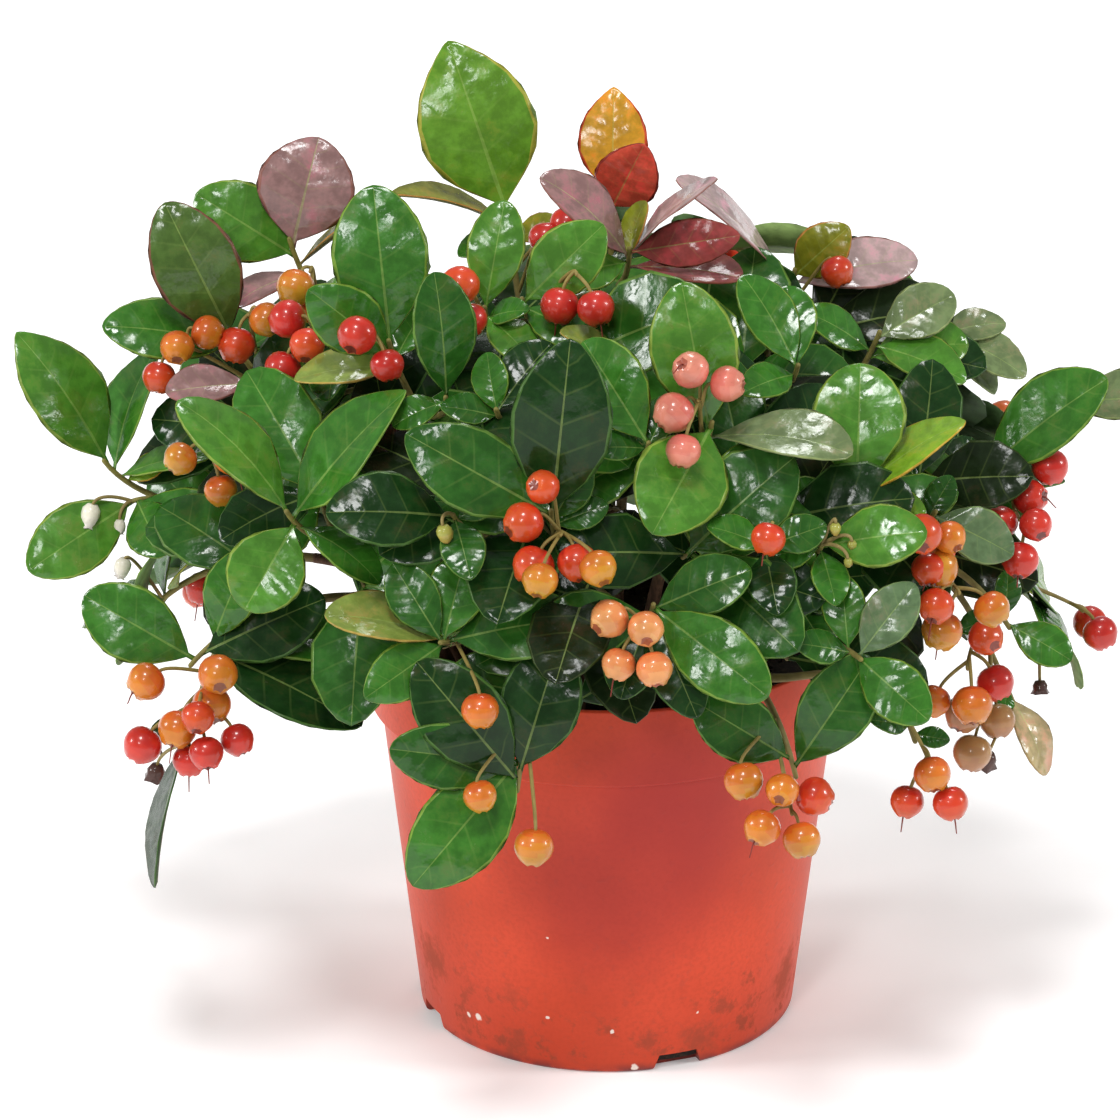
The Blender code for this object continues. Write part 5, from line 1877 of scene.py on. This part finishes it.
class WINTERGREEN_OT_leaves(bpy.types.Operator):
    """Grows the leaves: outer sprays with their own tints, and dark older leaves inside, some near-black as
    painted shade
    """

    bl_idname = "wintergreen.leaves"
    bl_label = "Leaves"

    def execute(self, context):
        masses, inner = crown()
        heaps = {}
        for name, mass in masses.items():
            for leaf, spray, order in mass.leaves:
                key = name, spray, order
                point = SHARP_POINT if key in POINTED else seeded(*key).uniform(*LEAF_POINTS)
                heaps.setdefault((tint_of(*key), True), []).append((leaf, point))
            for i, leaf in enumerate(inner[name][1]):
                tint = seeded(name, i, "inner tint").choice(INNER_TINTS)
                heaps.setdefault((tint, False), []).append((leaf, INNER_POINT))
        nodes = ["mass_" + name for name in masses]
        for (tint, outer), pairs in sorted(heaps.items()):
            label = f"leaves_{tint}" if outer else f"inner_leaves_{tint}"
            zones = {}
            for zone, colour in zip(LEAF_ZONES, tint_colours(tint)):
                title = f"leaf_{tint}_{zone}"
                zones[zone.capitalize()] = bpy.data.materials.get(title) or leaf_skin(title, colour, zone)
            places = points_mesh(label, [(0.0, 0.0, 0.0)] * len(pairs), leaf_layers(*zip(*pairs)))
            piece = run_tree(label, places, leaf_bender(), {
                "Blade": leaf_blade(LEAF_ROWS, EDGE_STEPS) if outer else leaf_blade(INNER_ROWS, 1),
                "Thickness": context.scene.wintergreen_plant.leaf_relief, **zones,
            })
            joins(piece, "foliage", *nodes)
            nodes = ()
        return {"FINISHED"}


def berry_axis(berry):
    """A berry hangs from its stalk, its star turned down."""
    return ((berry.centre - berry.hub).normalized() - UP * 0.7).normalized()


def berry_skin(title, colour, gloss):
    """A berry's skin: a little blushed and freckled, with a fine grain."""
    mat = finish(title, colour, gloss, 0.5)
    maker, place = place_in(mat)
    blush = maker.noise(place, 160.0, 2.0).ramp(0.35, 0.65)
    freckle = maker.noise(place, 1500.0, 2.0).ramp(0.62, 0.75)
    body = maker.mix(blush, toned(colour, 0.86), toned(colour, 1.08))
    body = maker.mix(freckle * 0.25, body, toned(colour, 0.6))
    return patterned(mat, body, gloss + blush * 0.08, maker.noise(place, 700.0, 2.0), 0.1 * MM, 0.3)


def hang_pieces(label, kind, template, placed, gloss):
    """One piece of like berries, flowers or husks, each placed by centre, axis and radius."""
    turns = [tuple(UP.rotation_difference(axis).to_euler()) for _, axis, _ in placed]
    places = points_mesh(label, [centre for centre, _, _ in placed], {
        "turn": ("FLOAT_VECTOR", turns), "size": ("FLOAT", [radius for _, _, radius in placed]),
    })
    first, end, star = FRUITS[kind]
    last = len(BERRY_ZONES) - 2
    colours = [tuple(a + (b - a) * i / last for a, b in zip(first, end)) for i in range(last + 1)]
    zones = {
        zone: berry_skin(f"{label}_{zone.lower()}", colour, gloss)
        for zone, colour in zip(BERRY_ZONES, [*colours, star])
    }
    joins(run_tree(label, places, berry_tree(), {"Berry": template, **zones}), "foliage")


def grow_stalks(label, lines):
    """One piece of thin smooth stalks."""
    colour = STALK_COLOURS[label]
    grow_piece(label, lines, stalk_skin(label, colour, toned(colour, 1.15)))


class WINTERGREEN_OT_berries(bpy.types.Operator):
    """Hangs the berries on their stalks, each with the dry star at its free end"""

    bl_idname = "wintergreen.berries"
    bl_label = "Berries"

    def execute(self, context):
        masses, _ = crown()
        heaps, stalks, styles = {}, [], []
        for name, mass in masses.items():
            for index, (lines, berries) in enumerate(mass.fruits):
                roots, alone = [], {}
                for start, end in lines:
                    own = [
                        number for number, berry in enumerate(berries)
                        if (nearest_on(start, end, berry.hub) - berry.hub).length < GAP
                    ]
                    middle = sum((berries[number].centre for number in own), Vector()) / max(1, len(own))
                    curve = (start, start.lerp(end, 0.6) + UP * 0.6 * MM, end, end.lerp(middle, 0.3))
                    stalk = limb_on(curve, CLUSTER_STALK)
                    roots += stalk[0][2:]
                    if len(own) == 1:
                        alone[own[0]] = start
                    else:
                        stalks.append(stalk)
                for number, berry in enumerate(berries):
                    chance = seeded(name, index, number, "berry")
                    axis = berry_axis(berry)
                    kind = chance.choice(KIN[fruit_of(name, index)])
                    heaps.setdefault(kind, []).append((berry.centre, axis, berry.radius))
                    top = berry.centre - axis * berry.radius * 0.8
                    root = alone.get(number) or min(roots, key=lambda point: (point - berry.hub).length)
                    curve = (root, root.lerp(top, 0.45) + UP * 0.8 * MM, top - axis * 2.2 * MM, top)
                    stalks.append(limb_on(curve, BERRY_STALK))
                    if chance.random() < STYLE_CHANCE:
                        end = berry.centre + axis * berry.radius * 0.8
                        hang = (axis - UP * 0.8).normalized() * chance.uniform(3.0, 5.5) * MM
                        curve = (end, end + axis * 1.5 * MM, end + hang * 0.6, end + hang)
                        styles.append(limb_on(curve, DRY_STYLE))
        for kind, placed in sorted(heaps.items()):
            gloss = context.scene.wintergreen_plant.berry_gloss
            hang_pieces("berries_" + kind, kind, berry_shape(), placed, gloss)
        grow_stalks("fruit_stalks", stalks)
        grow_stalks("dry_styles", styles)
        return {"FINISHED"}


class WINTERGREEN_OT_trimmings(bpy.types.Operator):
    """Hangs the few flowers, buds and dry husks from the nearest stems"""

    bl_idname = "wintergreen.trimmings"
    bl_label = "Flowers, buds and husks"

    def execute(self, context):
        masses, _ = crown()
        stems = [spot for mass in masses.values() for curve in mass.stems for spot in run_of(curve, 12, 0.5)]
        stalks = []
        for kind, entries in TRIMMINGS.items():
            placed = []
            for across, up, forward, radius in entries:
                place = spray_place(Spray(across, up, (), (), forward), 0.0)
                chance = seeded(kind, across, up)
                axis = (jitter(chance, 0.35) - UP).normalized()
                placed.append((place, axis, radius * MM))
                start = min(stems, key=lambda stem: (stem - place).length)
                top = place - axis * radius * MM * 0.85
                curve = (start, start.lerp(top, 0.4) + UP * 2.0 * MM, top - axis * 3.0 * MM, top)
                stalks.append(limb_on(curve, FLOWER_STALK))
            hang_pieces(kind + "s", kind, trim_shape(kind), placed, 0.6 if kind == "husk" else 0.4)
        grow_stalks("flower_stalks", stalks)
        return {"FINISHED"}


# Each lamp: the way it shines from, its share of the key light and how wide it is, in degrees.
LAMPS = {
    "key": ((-0.12, -0.55, 1.2), 0.85, 14.0),
    "front": ((-0.32, -1.0, 0.66), 0.3, 10.0),
    "left": ((-1.0, -0.15, 0.45), 0.7, 14.0),
    "right": ((1.0, -0.1, 0.45), 0.7, 14.0),
    "back": ((0.1, 0.7, 0.9), 0.4, 14.0),
}
WHITE = (1.0, 1.0, 1.0, 1.0)
FLOOR_SIZE = 12.0
FLOOR_GLOW = 0.15
CAMERA = {"lens": 221.0, "sensor_width": 36.0, "clip_end": 20.0}
CAMERA_AWAY = 1.7
TARGET = Vector((-0.0119, 0.0, 0.118))


def aimed_object(name, data, place, way):
    """A lamp or camera at a place, turned to look a certain way."""
    ob = bpy.data.objects.new(name, data)
    ob.location = place
    ob.rotation_euler = way.to_track_quat("-Z", "Y").to_euler()
    bpy.context.scene.collection.objects.link(ob)
    return ob


class WINTERGREEN_OT_stage(bpy.types.Operator):
    """Sets the floor, the light and the camera"""

    bl_idname = "wintergreen.stage"
    bl_label = "Stage"

    def execute(self, context):
        settings = context.scene.wintergreen_stage
        bpy.ops.mesh.primitive_plane_add(size=FLOOR_SIZE)
        floor = context.object
        floor.name = "floor"
        paint = finish("floor_paint", settings.floor, 0.8)
        shader = paint.node_tree.nodes["Principled BSDF"]
        shader.inputs["Emission Color"].default_value = WHITE
        shader.inputs["Emission Strength"].default_value = FLOOR_GLOW
        floor.data.materials.append(paint)
        world = bpy.data.worlds.new("studio")
        context.scene.world = world
        world.use_nodes = True
        back = world.node_tree.nodes["Background"]
        back.inputs["Color"].default_value = WHITE
        back.inputs["Strength"].default_value = settings.light
        for name, (place, share, spread) in LAMPS.items():
            lamp = bpy.data.lights.new(name, "SUN")
            lamp.angle = math.radians(spread)
            lamp.energy = settings.key * share
            aimed_object(name, lamp, (0.0, 0.0, 0.0), -Vector(place))
        camera = bpy.data.cameras.new("camera")
        for name, value in CAMERA.items():
            setattr(camera, name, value)
        out = sheet(0.0)[2] * CAMERA_AWAY
        context.scene.camera = aimed_object("camera", camera, TARGET + out, -out)
        context.scene.view_settings.view_transform = "Standard"
        return {"FINISHED"}


STEPS = (
    WINTERGREEN_OT_pot,
    WINTERGREEN_OT_compost,
    WINTERGREEN_OT_branches,
    WINTERGREEN_OT_leaves,
    WINTERGREEN_OT_berries,
    WINTERGREEN_OT_trimmings,
    WINTERGREEN_OT_stage,
)


class WINTERGREEN_PT_panel(bpy.types.Panel):
    """Lists the plant's pieces in the order in which they are made"""

    bl_label = "Potted wintergreen"
    bl_space_type = "VIEW_3D"
    bl_region_type = "UI"
    bl_category = "Wintergreen"

    def draw(self, context):
        for step in STEPS:
            self.layout.operator(step.bl_idname)
        for group in GROUPS:
            settings = getattr(context.scene, group)
            box = self.layout.box()
            for name in settings.__annotations__:
                box.prop(settings, name)


GROUPS = {
    "wintergreen_pot": PotSettings, "wintergreen_plant": PlantSettings, "wintergreen_stage": StageSettings,
}
CLASSES = (*GROUPS.values(), *STEPS, WINTERGREEN_PT_panel)


def register():
    for cls in CLASSES:
        bpy.utils.register_class(cls)
    for name, group in GROUPS.items():
        setattr(bpy.types.Scene, name, PointerProperty(type=group))


def unregister():
    for name in GROUPS:
        delattr(bpy.types.Scene, name)
    for cls in reversed(CLASSES):
        bpy.utils.unregister_class(cls)


def main():
    """Makes every piece in order."""
    register()
    for step in STEPS:
        getattr(bpy.ops.wintergreen, step.bl_idname.split(".")[1])()
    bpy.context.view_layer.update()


if __name__ == "__main__":
    main()
